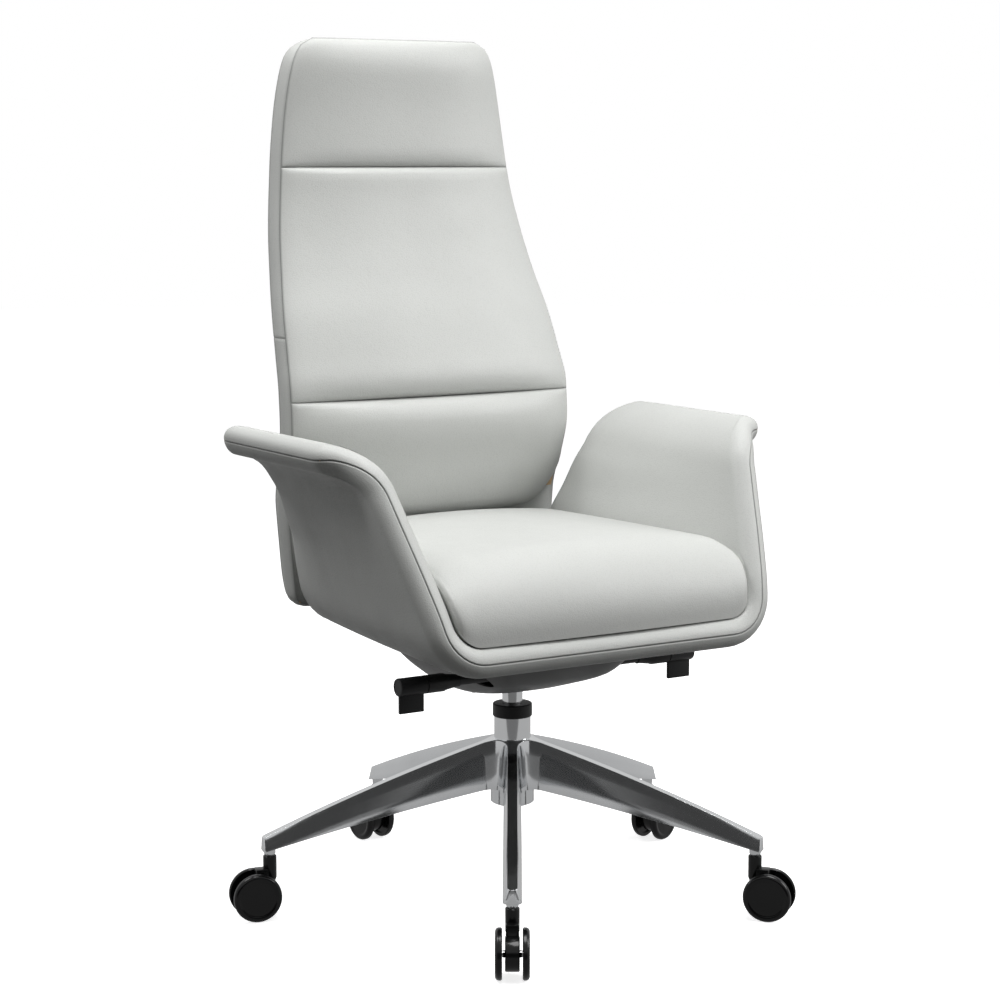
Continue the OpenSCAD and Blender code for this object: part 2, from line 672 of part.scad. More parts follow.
module shell_welt() color("gray") {
    ns = len(shell_s) - 1;
    nv = len(shell_v) - 1;
    ring_solid(concat(
        [for (i = [1:ns - 1]) rim_ring(shell_s[i], shell_v[0], shell_s[i], shell_v[1])],
        [rim_ring(shell_s[ns], shell_v[0], shell_s[ns - 1], shell_v[1])],
        [for (j = [1:nv - 1]) rim_ring(shell_s[ns], shell_v[j], shell_s[ns - 1], shell_v[j])],
        [rim_ring(shell_s[ns], shell_v[nv], shell_s[ns - 1], shell_v[nv - 1])],
        [for (i = [ns - 1:-1:1]) rim_ring(shell_s[i], shell_v[nv], shell_s[i], shell_v[nv - 1])],
        [rim_ring(shell_s[0], shell_v[nv], shell_s[1], shell_v[nv - 1])],
        [for (j = [nv - 1:-1:1]) rim_ring(shell_s[0], shell_v[j], shell_s[1], shell_v[j])],
        [rim_ring(shell_s[0], shell_v[0], shell_s[1], shell_v[1])]), 2);
}

// ---------------------------------------------------------------- seat cushion

cushion_front = -243;
cushion_rear = 192;
cushion_round = 95;      // length over which the front rolls down
cushion_lip = 12;        // least thickness at an edge
cushion_off = rim_r + 0.8;
cushion_s_end = s_wall + (cushion_edge_h - bend_end[1]) / sin(bend_deg);
cushion_half_s = [0, floor_half_w * 0.35, floor_half_w * 0.7, s_bend - 6, s_bend + bend_len / 3,
    s_bend + bend_len * 2 / 3, s_wall, cushion_s_end];
cushion_s = concat([for (i = [7:-1:1]) -cushion_half_s[i]], cushion_half_s);
cushion_v = [0, 0.015, 0.05, 0.1, 0.17, 0.25, 0.45, 0.7, 0.9, 1];

function cushion_y(v, side) = let (front = cushion_front + 12 * pow(side, 2) + 20 * pow(side, 6))
    front + (cushion_rear - front) * v;
function cushion_low(s, v) = let (p = profile(abs(s)), y = cushion_y(v, s / cushion_s_end))
    [(s < 0 ? -1 : 1) * (p[0] - cushion_off * sin(p[2])) * taper(p[1], y), y,
     shell_z + p[1] + cushion_off * cos(p[2])];
function cushion_high(s, v) = let (low = cushion_low(s, v), side = s / cushion_s_end,
    edge_z = shell_z + cushion_edge_h + rim_r * cos(bend_deg) + cushion_lip / 2,
    full = edge_z + cushion_crown * (1 - pow(side, 2)) - low[2],
    near = min(1, (low[1] - cushion_front) / cushion_round),
    roll = sqrt(max(0, 1 - pow(1 - near, 2))))
    [low[0], low[1], low[2] + max(cushion_lip, full * roll)];

module seat_cushion() color("white") grid_solid(
    [for (s = cushion_s) [for (v = cushion_v) cushion_high(s, v)]],
    [for (s = cushion_s) [for (v = cushion_v) cushion_low(s, v)]]);

// ---------------------------------------------------------------- back

// Seam of the back by height above the shell's mid floor: [height, half width, y]
drawn_back_h = 787;
seam_table = [[0, 208, 236], [90, 216, 236], [140, 220, 236], [190, 223, 224], [250, 225, 210],
    [300, 225, 213], [350, 221, 229], [400, 216, 248], [460, 206, 274], [520, 197, 295],
    [580, 188, 309], [640, 181, 316], [700, 173, 318.5], [750, 163, 317.5], [775, 152, 317],
    [787, 132, 316]];
back_y0 = read(seam_table, 0, 2);
function seam_w(h) = read(seam_table, h * drawn_back_h / back_h, 1);
function seam_y(h) = read(seam_table, h * drawn_back_h / back_h, 2);

foot_r = 55;             // roll at the foot of the back
function band_depth(h) = h >= foot_r ? band_d
    : band_d - (band_d - board_t - 4) * (1 - sqrt(1 - pow(1 - h / foot_r, 2)));
head_seam = 607;         // heights of the two cross seams, drawn
lumbar_seam = 289;
pad_foot = 118;
seam_gap = 1;
pad_crown = 30;
lumbar_crown = 42;
rear_bulge = 24;
pad_x = [-1, -0.97, -0.85, -0.6, -0.3, 0, 0.3, 0.6, 0.85, 0.97, 1];

// Levels of a stretch of the back, with the table's own heights between its ends
function levels(h0, h1) = concat([h0],
    [for (row = seam_table) let (h = row[0] * back_h / drawn_back_h)
        if (h > h0 + 4 && h < h1 - 4) h], [h1]);

// Roll of a pad at its upper and lower end: 0 at the seam and 1 inside
function pad_roll(h, h0, h1) = let (d = min(h - h0, h1 - h), r = 34)
    d >= r ? 1 : sqrt(1 - pow(1 - max(d, 0) / r, 2));
function ascending(list) = len(list) == 0 ? []
    : let (least = min(list)) concat([least], ascending([for (v = list) if (v > least + eps) v]));
function pad_levels(h0, h1) = ascending(concat([for (d = [0, 5, 16]) for (h = [h0 + d, h1 - d]) h],
    [for (row = seam_table) let (h = row[0] * back_h / drawn_back_h)
        if (h > h0 + eps && h < h1 - eps) h]));

module back_pad(h0, h1, crown, narrow_foot) {
    list = pad_levels(h0, h1);
    function width(h) = seam_w(h) - (narrow_foot && h < h0 + 70
        ? 70 * (1 - sqrt(1 - pow(1 - (h - h0) / 70, 2))) : 0);
    grid_solid(
        [for (h = list) [for (x = pad_x) [-x * width(h), seam_y(h) - 6
            - crown * (1 - pow(x, 2)) * (0.45 + 0.55 * pad_roll(h, h0, h1)) * (abs(x) < 1 ? 1 : 0),
            shell_z + h]]],
        [for (h = list) [for (x = pad_x) [-x * width(h), seam_y(h), shell_z + h]]]);
}

function at_back(share) = share * back_h / drawn_back_h;

module head_pad() color("whitesmoke")
    back_pad(at_back(head_seam) + seam_gap / 2, back_h, pad_crown - 8, false);
module middle_pad() color("whitesmoke")
    back_pad(at_back(lumbar_seam) + seam_gap / 2, at_back(head_seam) - seam_gap / 2, pad_crown,
        false);
module lumbar_pad() color("whitesmoke")
    back_pad(at_back(pad_foot), at_back(lumbar_seam) - seam_gap / 2, lumbar_crown, true);

back_levels = levels(0, back_h);
inner_levels = levels(band_t, back_h - band_t);

module back_board() color("burlywood") difference() {
    grid_solid(
        [for (h = inner_levels) [for (x = [-1, 1]) [-x * (seam_w(h) - band_t), seam_y(h),
            shell_z + h]]],
        [for (h = inner_levels) [for (x = [-1, 1]) [-x * (seam_w(h) - band_t),
            seam_y(h) + board_t, shell_z + h]]]);
    for (z = back_bolt_z) for (x = [-back_bolt_x, back_bolt_x])
        translate([x, back_y0 - 1, shell_low_z + z]) rotate([-90, 0, 0])
            cylinder(h = board_t, d = bolt_d);
}

// Strip around the side of the back, from the front seam to the rear seam
function band_ring(w, h, inner_w, inner_h) = let (y0 = seam_y(h), y1 = y0 + band_depth(h),
    yi = seam_y(inner_h), yj = yi + band_depth(inner_h))
    [[w, y0, shell_z + h], [w, y1, shell_z + h], [inner_w, yj, shell_z + inner_h],
     [inner_w, yi, shell_z + inner_h]];

module back_band() color("lightgray") {
    n = len(inner_levels) - 1;
    inner_h = concat([band_t], [for (i = [1:n - 1]) inner_levels[i]], [back_h - band_t]);
    outer_h = concat([0], [for (i = [1:n - 1]) inner_levels[i]], [back_h]);
    ring_solid(concat(
        [for (i = [0:n]) band_ring(seam_w(outer_h[i]), outer_h[i],
            seam_w(inner_h[i]) - band_t, inner_h[i])],
        [for (i = [n:-1:0]) band_ring(-seam_w(outer_h[i]), outer_h[i],
            band_t - seam_w(inner_h[i]), inner_h[i])]));
}

module back_rear_panel() color("lightgray") grid_solid(
    [for (h = inner_levels) [for (x = pad_x) [-x * (seam_w(h) - band_t), seam_y(h) + board_t,
        shell_z + h]]],
    [for (h = inner_levels) [for (x = pad_x) [-x * (seam_w(h) - band_t),
        seam_y(h) + band_depth(h) + rear_bulge * (1 - pow(x, 2))
            * sqrt(max(0, 1 - pow(2 * h / back_h - 1, 6))), shell_z + h]]]);

// ---------------------------------------------------------------- nodes

star_base();
column_tube();
column_cap();
guide_bush();
thrust_bearing();
retaining_clip();
rubber_bumper();
piston_rod();
gas_cylinder();
release_pin();
tilt_housing();
release_rocker();
rocker_pin();
tilt_axle();
tilt_springs();
height_lever();
height_grip();
tilt_lever();
tilt_grip();
seat_plate();
under_cover();
cover_screws();
frame_bolts();
shell_core();
shell_outer_pad();
shell_inner_pad();
shell_welt();
seat_cushion();
back_bar();
back_board();
back_band();
back_rear_panel();
head_pad();
middle_pad();
lumbar_pad();
for (i = [1:leg_count])
    for (piece = ["stem", "body", "axle", "wheel_left", "wheel_right"])
        caster_piece(i, piece);
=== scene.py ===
"""Visual model of a swivel office chair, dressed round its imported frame.

Lengths are metres, +Z is up, the sitter faces -Y and the origin is on the floor under the column.
"""
import json
import logging
import math
from dataclasses import dataclass
from enum import Enum
from typing import Callable, Iterable, Iterator, Sequence

import bmesh
import bpy
from mathutils import Matrix, Vector


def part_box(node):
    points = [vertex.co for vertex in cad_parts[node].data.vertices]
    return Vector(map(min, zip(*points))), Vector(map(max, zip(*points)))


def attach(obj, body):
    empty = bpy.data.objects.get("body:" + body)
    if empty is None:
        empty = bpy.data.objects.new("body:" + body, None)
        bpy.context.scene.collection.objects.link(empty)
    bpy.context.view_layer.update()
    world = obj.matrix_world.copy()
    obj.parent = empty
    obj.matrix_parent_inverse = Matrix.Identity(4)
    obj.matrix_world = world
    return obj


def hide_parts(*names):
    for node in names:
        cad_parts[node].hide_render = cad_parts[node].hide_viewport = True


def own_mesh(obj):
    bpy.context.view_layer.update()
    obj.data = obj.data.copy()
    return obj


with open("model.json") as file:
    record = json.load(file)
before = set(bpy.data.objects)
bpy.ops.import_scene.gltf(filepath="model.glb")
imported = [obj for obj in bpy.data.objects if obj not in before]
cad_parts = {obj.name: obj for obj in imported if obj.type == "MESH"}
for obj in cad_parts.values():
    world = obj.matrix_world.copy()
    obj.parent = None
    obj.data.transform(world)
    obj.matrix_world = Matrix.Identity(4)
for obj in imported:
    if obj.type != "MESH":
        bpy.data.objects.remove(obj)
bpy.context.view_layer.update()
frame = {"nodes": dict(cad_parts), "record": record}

log = logging.getLogger("chair")
LEGS = 5
SAME_POINT = 1e-6
SMOOTH_DEG = 38.0
Colour = tuple[float, float, float, float]
Place = Callable[[float, float, float], Vector]
WHITE: Colour = (1.0, 1.0, 1.0, 1.0)


class Side(Enum):
    """Side of the chair, by the sign of X."""

    RIGHT = -1
    LEFT = 1


# ---------------------------------------------------------------- small sums


def mid_box(node: str) -> Vector:
    """Middle of a CAD node's box."""
    low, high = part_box(node)
    return (low + high) / 2


def clamp(value: float, low: float = 0.0, high: float = 1.0) -> float:
    """Value held between low and high."""
    return max(low, min(high, value))


def roll(distance: float, radius: float) -> float:
    """Height share of a quarter round, from 0 at its edge to 1 at radius inside."""
    return math.sqrt(max(0.0, 1.0 - (1.0 - clamp(distance / radius)) ** 2))


def fair(xs: Sequence[float], ys: Sequence[float], x: float) -> float:
    """Smooth curve through key points that never overshoots them.

    Args:
        xs: Rising keys.
        ys: Value at each key.
        x: Where to read the curve.

    Returns:
        The value at x.
    """
    if x <= xs[0]:
        return ys[0]
    if x >= xs[-1]:
        return ys[-1]
    slopes = [(ys[k + 1] - ys[k]) / (xs[k + 1] - xs[k]) for k in range(len(xs) - 1)]

    def tangent(k: int) -> float:
        """Slope of the curve at key k."""
        if k == 0:
            return slopes[0]
        if k == len(xs) - 1:
            return slopes[-1]
        a, b = slopes[k - 1], slopes[k]
        return 0.0 if a * b <= 0 else 2 * a * b / (a + b)

    k = max(i for i in range(len(xs) - 1) if xs[i] <= x)
    h = xs[k + 1] - xs[k]
    t = (x - xs[k]) / h
    return ((2 * t**3 - 3 * t**2 + 1) * ys[k] + (t**3 - 2 * t**2 + t) * h * tangent(k)
            + (3 * t**2 - 2 * t**3) * ys[k + 1] + (t**3 - t**2) * h * tangent(k + 1))


def graded(length: float, step: float, near: Sequence[float]) -> list[float]:
    """Stations from 0 to length: close together by both ends, even between them.

    Args:
        length: Whole length.
        step: Rough step between the even stations.
        near: Distances of the close stations from each end, without 0.

    Returns:
        The stations, rising.
    """
    first, last = near[-1], length - near[-1]
    count = max(1, round((last - first) / step))
    middle = [first + (last - first) * k / count for k in range(1, count)]
    return [0.0, *near, *middle, *[length - d for d in reversed(near)], length]


# ---------------------------------------------------------------- finishes


class Nodes:
    """Node tree with one-line calls to add and join nodes."""

    def __init__(self, tree: bpy.types.NodeTree) -> None:
        """Notes the tree."""
        self.tree = tree

    def add(self, kind: str, settings: dict | None = None, **sockets: object) -> bpy.types.Node:
        """Adds a node.

        Args:
            kind: Blender's name of the node.
            settings: Values of the node's own properties.
            **sockets: Values or outputs for its inputs, with _ for a space in a name.

        Returns:
            The node.
        """
        node = self.tree.nodes.new(kind)
        for key, value in (settings or {}).items():
            setattr(node, key, value)
        for key, value in sockets.items():
            self.feed(node, key.replace("_", " "), value)
        return node

    def feed(self, node: bpy.types.Node, socket: str | int, value: object) -> None:
        """Gives an input a value, or links an output to it."""
        if isinstance(value, bpy.types.NodeSocket):
            self.tree.links.new(value, node.inputs[socket])
        else:
            node.inputs[socket].default_value = value

    def between(self, value: object, low: float, high: float, start: float = 0.25,
                end: float = 0.75) -> object:
        """Maps start..end to low..high, held at both ends."""
        node = self.add("ShaderNodeMapRange", Value=value)
        for key, number in zip((1, 2, 3, 4), (start, end, low, high)):
            node.inputs[key].default_value = number
        return node.outputs[0]


class Graph(Nodes):
    """Node tree of a material."""

    def __init__(self, name: str) -> None:
        """Starts a material of this name with its shader."""
        self.material = bpy.data.materials.new(name)
        self.material.use_nodes = True
        super().__init__(self.material.node_tree)
        self.tree.nodes.clear()
        self.shader = self.add("ShaderNodeBsdfPrincipled")
        self.add("ShaderNodeOutputMaterial", Surface=self.shader.outputs[0])
        self.place = self.add("ShaderNodeTexCoord").outputs["Object"]

    def noise(self, scale: float, detail: float = 3.0, stretch: Vector | None = None) -> object:
        """Noise between 0 and 1 over the piece's own coordinates."""
        place = self.place
        if stretch is not None:
            place = self.add("ShaderNodeMapping", Vector=place, Scale=stretch).outputs[0]
        return self.add("ShaderNodeTexNoise", Vector=place, Scale=scale, Detail=detail).outputs[0]

    def math(self, operation: str, *values: object) -> object:
        """Result of one math step on up to three values."""
        node = self.add("ShaderNodeMath", {"operation": operation})
        for k, value in enumerate(values):
            self.feed(node, k, value)
        return node.outputs[0]

    def blend(self, share: object, first: object, second: object) -> object:
        """Colour between two colours, by share."""
        node = self.add("ShaderNodeMix", {"data_type": "RGBA"})
        for socket, value in ((0, share), (6, first), (7, second)):
            self.feed(node, socket, value)
        return node.outputs[2]

    def emboss(self, height: object, depth: float, strength: float = 1.0,
               under: object | None = None) -> object:
        """Bump of real depth from a height between 0 and 1."""
        node = self.add("ShaderNodeBump", Height=height, Strength=strength, Distance=depth)
        if under is not None:
            self.feed(node, "Normal", under)
        return node.outputs[0]

    def finish(self, **sockets: object) -> bpy.types.Material:
        """Feeds the shader's inputs and gives the material."""
        for key, value in sockets.items():
            self.feed(self.shader, key.replace("_", " "), value)
        return self.material


def grey(level: float, warm: float = 0.0) -> Colour:
    """Linear colour of a grey, warmer above 0."""
    return (level * (1 + warm), level, level * (1 - warm), 1.0)


def scaled(tint: Colour, share: float, more: float = 0.0) -> Colour:
    """Colour times share, plus more, held between 0 and 1."""
    return tuple(clamp(c * share + more) for c in tint[:3]) + (1.0,)


@dataclass(frozen=True)
class Leather:
    """Grained upholstery leather, darker in its grain valleys, with painted shade along its seams."""

    name: str = "leather"
    tint: Colour = (0.575, 0.585, 0.565, 1.0)
    grain: float = 640.0
    depth: float = 0.00022

    def build(self) -> bpy.types.Material:
        """Makes the material."""
        g = Graph(self.name)
        wander = g.noise(60, 2)
        warped = g.add("ShaderNodeVectorMath", {"operation": "ADD"})
        g.feed(warped, 0, g.place)
        nudge = g.add("ShaderNodeVectorMath", {"operation": "SCALE"}, Scale=0.002)
        g.feed(nudge, 0, g.add("ShaderNodeTexNoise", Vector=g.place, Scale=90.0).outputs["Color"])
        g.feed(warped, 1, nudge.outputs[0])
        cell = g.add("ShaderNodeTexVoronoi", {"feature": "SMOOTH_F1"}, Vector=warped.outputs[0],
                     Scale=self.grain, Smoothness=0.35)
        pebble = g.between(cell.outputs["Distance"], 1.0, 0.0, 0.15, 0.8)
        pores = g.noise(2600, 2)
        height = g.math("MULTIPLY_ADD", pores, 0.25, pebble)
        # The seam value darkens the colour towards 0.42 of the tint: painted shade along the seams.
        painted_seam_shade = g.add("ShaderNodeAttribute", {"attribute_name": "seam"}).outputs["Fac"]
        valley = g.between(pebble, 0.12, 0.0, 0.0, 0.55)
        cloud = g.between(g.noise(5.5, 4), 0.0, 0.10)
        shade = g.math("ADD", valley, cloud)
        colour = g.blend(painted_seam_shade, g.blend(shade, self.tint, scaled(self.tint, 0.55)),
                         scaled(self.tint, 0.42))
        rough = g.math("ADD", g.between(g.noise(24, 5), 0.40, 0.52), g.math("MULTIPLY", valley, 0.5))
        broad = g.emboss(wander, 0.0006, 0.35)
        return g.finish(Base_Color=colour, Roughness=rough, Normal=g.emboss(height, self.depth, 0.5,
                        broad), Specular_IOR_Level=0.42, Sheen_Weight=0.06, Sheen_Roughness=0.4)


@dataclass(frozen=True)
class Metal:
    """Bare metal with faint polishing or machining marks."""

    name: str
    tint: Colour
    rough: tuple[float, float]
    marks: Vector
    depth: float = 0.00001

    def build(self) -> bpy.types.Material:
        """Makes the material."""
        g = Graph(self.name)
        rub = g.noise(70, 4, self.marks)
        smudge = g.noise(14, 5)
        mixed = g.math("MULTIPLY_ADD", smudge, 0.5, g.math("MULTIPLY", rub, 0.5))
        colour = g.blend(g.between(smudge, 0, 0.5), self.tint, scaled(self.tint, 0.86))
        return g.finish(Base_Color=colour, Metallic=1.0, Normal=g.emboss(rub, self.depth, 0.4),
                        Roughness=g.between(mixed, *self.rough, 0.3, 0.7))


@dataclass(frozen=True)
class Plastic:
    """Moulded plastic or rubber with a fine spark-eroded texture."""

    name: str
    tint: Colour
    rough: tuple[float, float]
    texture: float = 1800.0
    depth: float = 0.00004

    def build(self) -> bpy.types.Material:
        """Makes the material."""
        g = Graph(self.name)
        fine = g.noise(self.texture, 3)
        dust = g.noise(18, 6)
        colour = g.blend(g.between(dust, 0, 0.6), self.tint, scaled(self.tint, 1.3, 0.001))
        return g.finish(Base_Color=colour, Roughness=g.between(dust, *self.rough),
                        Specular_IOR_Level=0.3, Normal=g.emboss(fine, self.depth, 0.5))


@dataclass(frozen=True)
class Plywood:
    """Birch plywood with a long grain."""

    name: str = "plywood"

    def build(self) -> bpy.types.Material:
        """Makes the material."""
        g = Graph(self.name)
        grain = g.noise(9, 6, Vector((9.0, 1.0, 9.0)))
        return g.finish(Base_Color=g.blend(grain, (0.50, 0.33, 0.17, 1), (0.68, 0.50, 0.30, 1)),
                        Roughness=g.between(grain, 0.55, 0.75), Normal=g.emboss(grain, 0.0003, 0.4))


EVEN = Vector((1.0, 1.0, 1.0))
LATHED = Vector((0.3, 0.3, 14.0))
FINISHES = {
    "leather": Leather(),
    "polished_aluminium": Metal("polished_aluminium", grey(0.74, -0.015), (0.10, 0.15), EVEN, 0.000002),
    "chrome": Metal("chrome", grey(0.80, -0.01), (0.04, 0.08), LATHED, 0.000001),
    "steel": Metal("steel", grey(0.55), (0.22, 0.38), LATHED),
    "spring_steel": Metal("spring_steel", grey(0.30, -0.02), (0.28, 0.45), EVEN),
    "black_steel": Plastic("black_steel", grey(0.018), (0.32, 0.48), 900.0, 0.00006),
    "satin_plastic": Plastic("satin_plastic", grey(0.009, -0.03), (0.34, 0.46)),
    "gloss_plastic": Plastic("gloss_plastic", grey(0.004, -0.03), (0.14, 0.24), 1500.0, 0.00002),
    "grey_plastic": Plastic("grey_plastic", grey(0.22), (0.36, 0.50)),
    "bush_plastic": Plastic("bush_plastic", (0.70, 0.67, 0.58, 1.0), (0.40, 0.55)),
    "rubber": Plastic("rubber", grey(0.030), (0.62, 0.78), 700.0, 0.00012),
    "plywood": Plywood(),
}


class Wardrobe:
    """Every finish of the chair, built once each."""

    def __init__(self) -> None:
        """Builds the finishes."""
        self.made = {slot: finish.build() for slot, finish in FINISHES.items()}

    def dress_frame(self) -> None:
        """Gives every CAD node the finish of its material slot."""
        for part in frame["record"]["subparts"]:
            node = frame["nodes"][part["node"]]
            node.data.materials.clear()
            node.data.materials.append(self.made[part["material_slot"]])


# ---------------------------------------------------------------- pieces


def shaped(name: str, bm: bmesh.types.BMesh) -> bpy.types.Object:
    """Ends a bmesh as an object of the scene."""
    mesh = bpy.data.meshes.new(name)
    bm.to_mesh(mesh)
    bm.free()
    return shown(name, mesh)


def shown(name: str, data: bpy.types.ID) -> bpy.types.Object:
    """Adds an object with this data to the scene."""
    obj = bpy.data.objects.new(name, data)
    bpy.context.scene.collection.objects.link(obj)
    return obj


def smoothed(mesh: bpy.types.Mesh, sharp_deg: float) -> None:
    """Shades a mesh smooth, but for edges over sharp_deg."""
    mesh.shade_smooth()
    mesh.set_sharp_from_angle(angle=math.radians(sharp_deg))


def grid(bm: bmesh.types.BMesh, nx: int, ny: int) -> Iterator[tuple[bmesh.types.BMVert, int, int]]:
    """Adds a grid of nx by ny faces and gives each point with its column and row."""
    for v in bmesh.ops.create_grid(bm, x_segments=nx, y_segments=ny, size=1.0)["verts"]:
        yield v, round((v.co.x + 1) / 2 * nx), round((v.co.y + 1) / 2 * ny)


def everything(bm: bmesh.types.BMesh) -> list:
    """All points, edges and faces of a bmesh."""
    return bm.verts[:] + bm.edges[:] + bm.faces[:]


class Piece:
    """A mesh under construction, in the chair's own frame."""

    def __init__(self, name: str) -> None:
        """Starts an empty mesh with a painted seam shade value on its points."""
        self.name = name
        self.bm = bmesh.new()
        # seam: share of painted shade on each point, which darkens the leather's colour along the
        # seams.
        self.seam = self.bm.verts.layers.float.new("seam")

    def turned(self, outline: Sequence[tuple[float, float]], matrix: Matrix, steps: int = 72,
               ) -> list[bmesh.types.BMVert]:
        """Turns an outline of (radius, height) round an axis, as on a lathe.

        Args:
            outline: Points from one end to the other, closed on the axis or on itself.
            matrix: Takes the turned shape, with its axis on Z, to its place.
            steps: Faces round the axis.

        Returns:
            The new points.
        """
        bm = self.bm
        line = [bm.verts.new((r, 0.0, z)) for r, z in outline]
        edges = [bm.edges.new(pair) for pair in zip(line, line[1:])]
        old = set(bm.verts) - set(line)
        bmesh.ops.spin(bm, geom=line + edges, cent=(0, 0, 0), axis=(0, 0, 1), dvec=(0, 0, 0),
                       angle=math.tau, steps=steps, use_merge=True, use_duplicate=False)
        made = [v for v in bm.verts if v not in old]
        bmesh.ops.remove_doubles(bm, verts=made, dist=SAME_POINT)
        made = [v for v in bm.verts if v not in old]
        bmesh.ops.transform(bm, matrix=matrix, verts=made)
        return made

    def block(self, low: Vector, high: Vector, matrix: Matrix = Matrix()) -> list:
        """Adds a box between two corners and gives its points."""
        size = high - low
        place = matrix @ Matrix.Translation((low + high) / 2) @ Matrix.Diagonal((*size, 1.0))
        return bmesh.ops.create_cube(self.bm, size=1.0, matrix=place)["verts"]

    def soften(self, radius: float, segments: int = 3, over_deg: float = 32.0,
               among: Iterable | None = None) -> None:
        """Rounds every edge sharper than over_deg.

        Args:
            radius: Width taken off on each side of an edge.
            segments: Faces across the rounding.
            over_deg: Smallest angle between faces that counts as sharp.
            among: Points whose edges are looked at, or None for all.
        """
        keep = None if among is None else {v for v in among if v.is_valid}
        edges = [e for e in self.bm.edges if len(e.link_faces) == 2
                 and e.calc_face_angle(0.0) > math.radians(over_deg)
                 and (keep is None or all(v in keep for v in e.verts))]
        bmesh.ops.bevel(self.bm, geom=edges, offset=radius, offset_type="OFFSET", segments=segments,
                        profile=0.5, affect="EDGES", material=-1, clamp_overlap=True)

    def hem(self, edges: list) -> tuple[set, list]:
        """Extrudes open edges; gives the fresh points and the edges between them."""
        grown = bmesh.ops.extrude_edge_only(self.bm, edges=edges)["geom"]
        fresh = {g for g in grown if isinstance(g, bmesh.types.BMVert)}
        return fresh, [g for g in grown if isinstance(g, bmesh.types.BMEdge)
                       and all(v in fresh for v in g.verts)]

    def quilt(self, nx: int, ny: int, place: Callable[[int, int, int], tuple[Vector, float]]) -> None:
        """Lays an under and an upper grid and closes them round their rims.

        Args:
            nx: Faces across.
            ny: Faces along.
            place: Gives the point and its painted seam shade value for a column, a row and a layer, 0
                or 1.
        """
        for layer in (0, 1):
            for v, i, j in grid(self.bm, nx, ny):
                v.co, v[self.seam] = place(i, j, layer)
        bmesh.ops.bridge_loops(self.bm, edges=[e for e in self.bm.edges if e.is_boundary])
        self.tidy(2e-5)

    def tidy(self, gap: float = SAME_POINT) -> None:
        """Joins points that meet and turns all faces outwards."""
        bmesh.ops.remove_doubles(self.bm, verts=self.bm.verts[:], dist=gap)
        bmesh.ops.recalc_face_normals(self.bm, faces=self.bm.faces[:])

    def done(self, body: str, slot: str, wardrobe: Wardrobe, replaces: Sequence[str],
             sharp_deg: float = SMOOTH_DEG) -> bpy.types.Object:
        """Makes the object, hangs it on its body and hides the CAD nodes it replaces.

        Args:
            body: CAD body it rides on.
            slot: Material slot of the record.
            wardrobe: Holds its finish.
            replaces: CAD nodes it stands for.
            sharp_deg: Angle over which an edge is shaded sharp.

        Returns:
            The object.
        """
        self.tidy()
        obj = shaped(self.name, self.bm)
        smoothed(obj.data, sharp_deg)
        obj.data.materials.append(wardrobe.made[slot])
        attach(obj, body)
        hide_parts(*replaces)
        log.info("%s: %d faces on %s", self.name, len(obj.data.polygons), body)
        return obj

    def leather(self, wardrobe: Wardrobe, replaces: Sequence[str], sharp_deg: float, fill: float,
                ) -> None:
        """Makes a padded leather piece of the seat.

        Args:
            wardrobe: Holds its finish.
            replaces: CAD nodes it stands for.
            sharp_deg: Angle over which an edge is shaded sharp.
            fill: Share of its CAD solids that it fills; not used.
        """
        self.done("seat", "leather", wardrobe, replaces, sharp_deg)


def baked(obj: bpy.types.Object) -> None:
    """Applies an object's live modifiers to its mesh."""
    graph = bpy.context.evaluated_depsgraph_get()
    mesh = bpy.data.meshes.new_from_object(obj.evaluated_get(graph))
    obj.modifiers.clear()
    obj.data = mesh


def along_x(side: int, y: float, z: float) -> Matrix:
    """Takes +Z to the side's X direction, on a line across the chair at y and z."""
    return Matrix.Translation((0.0, y, z)) @ Matrix.Rotation(math.radians(90.0 * side), 4, "Y")


# ---------------------------------------------------------------- base


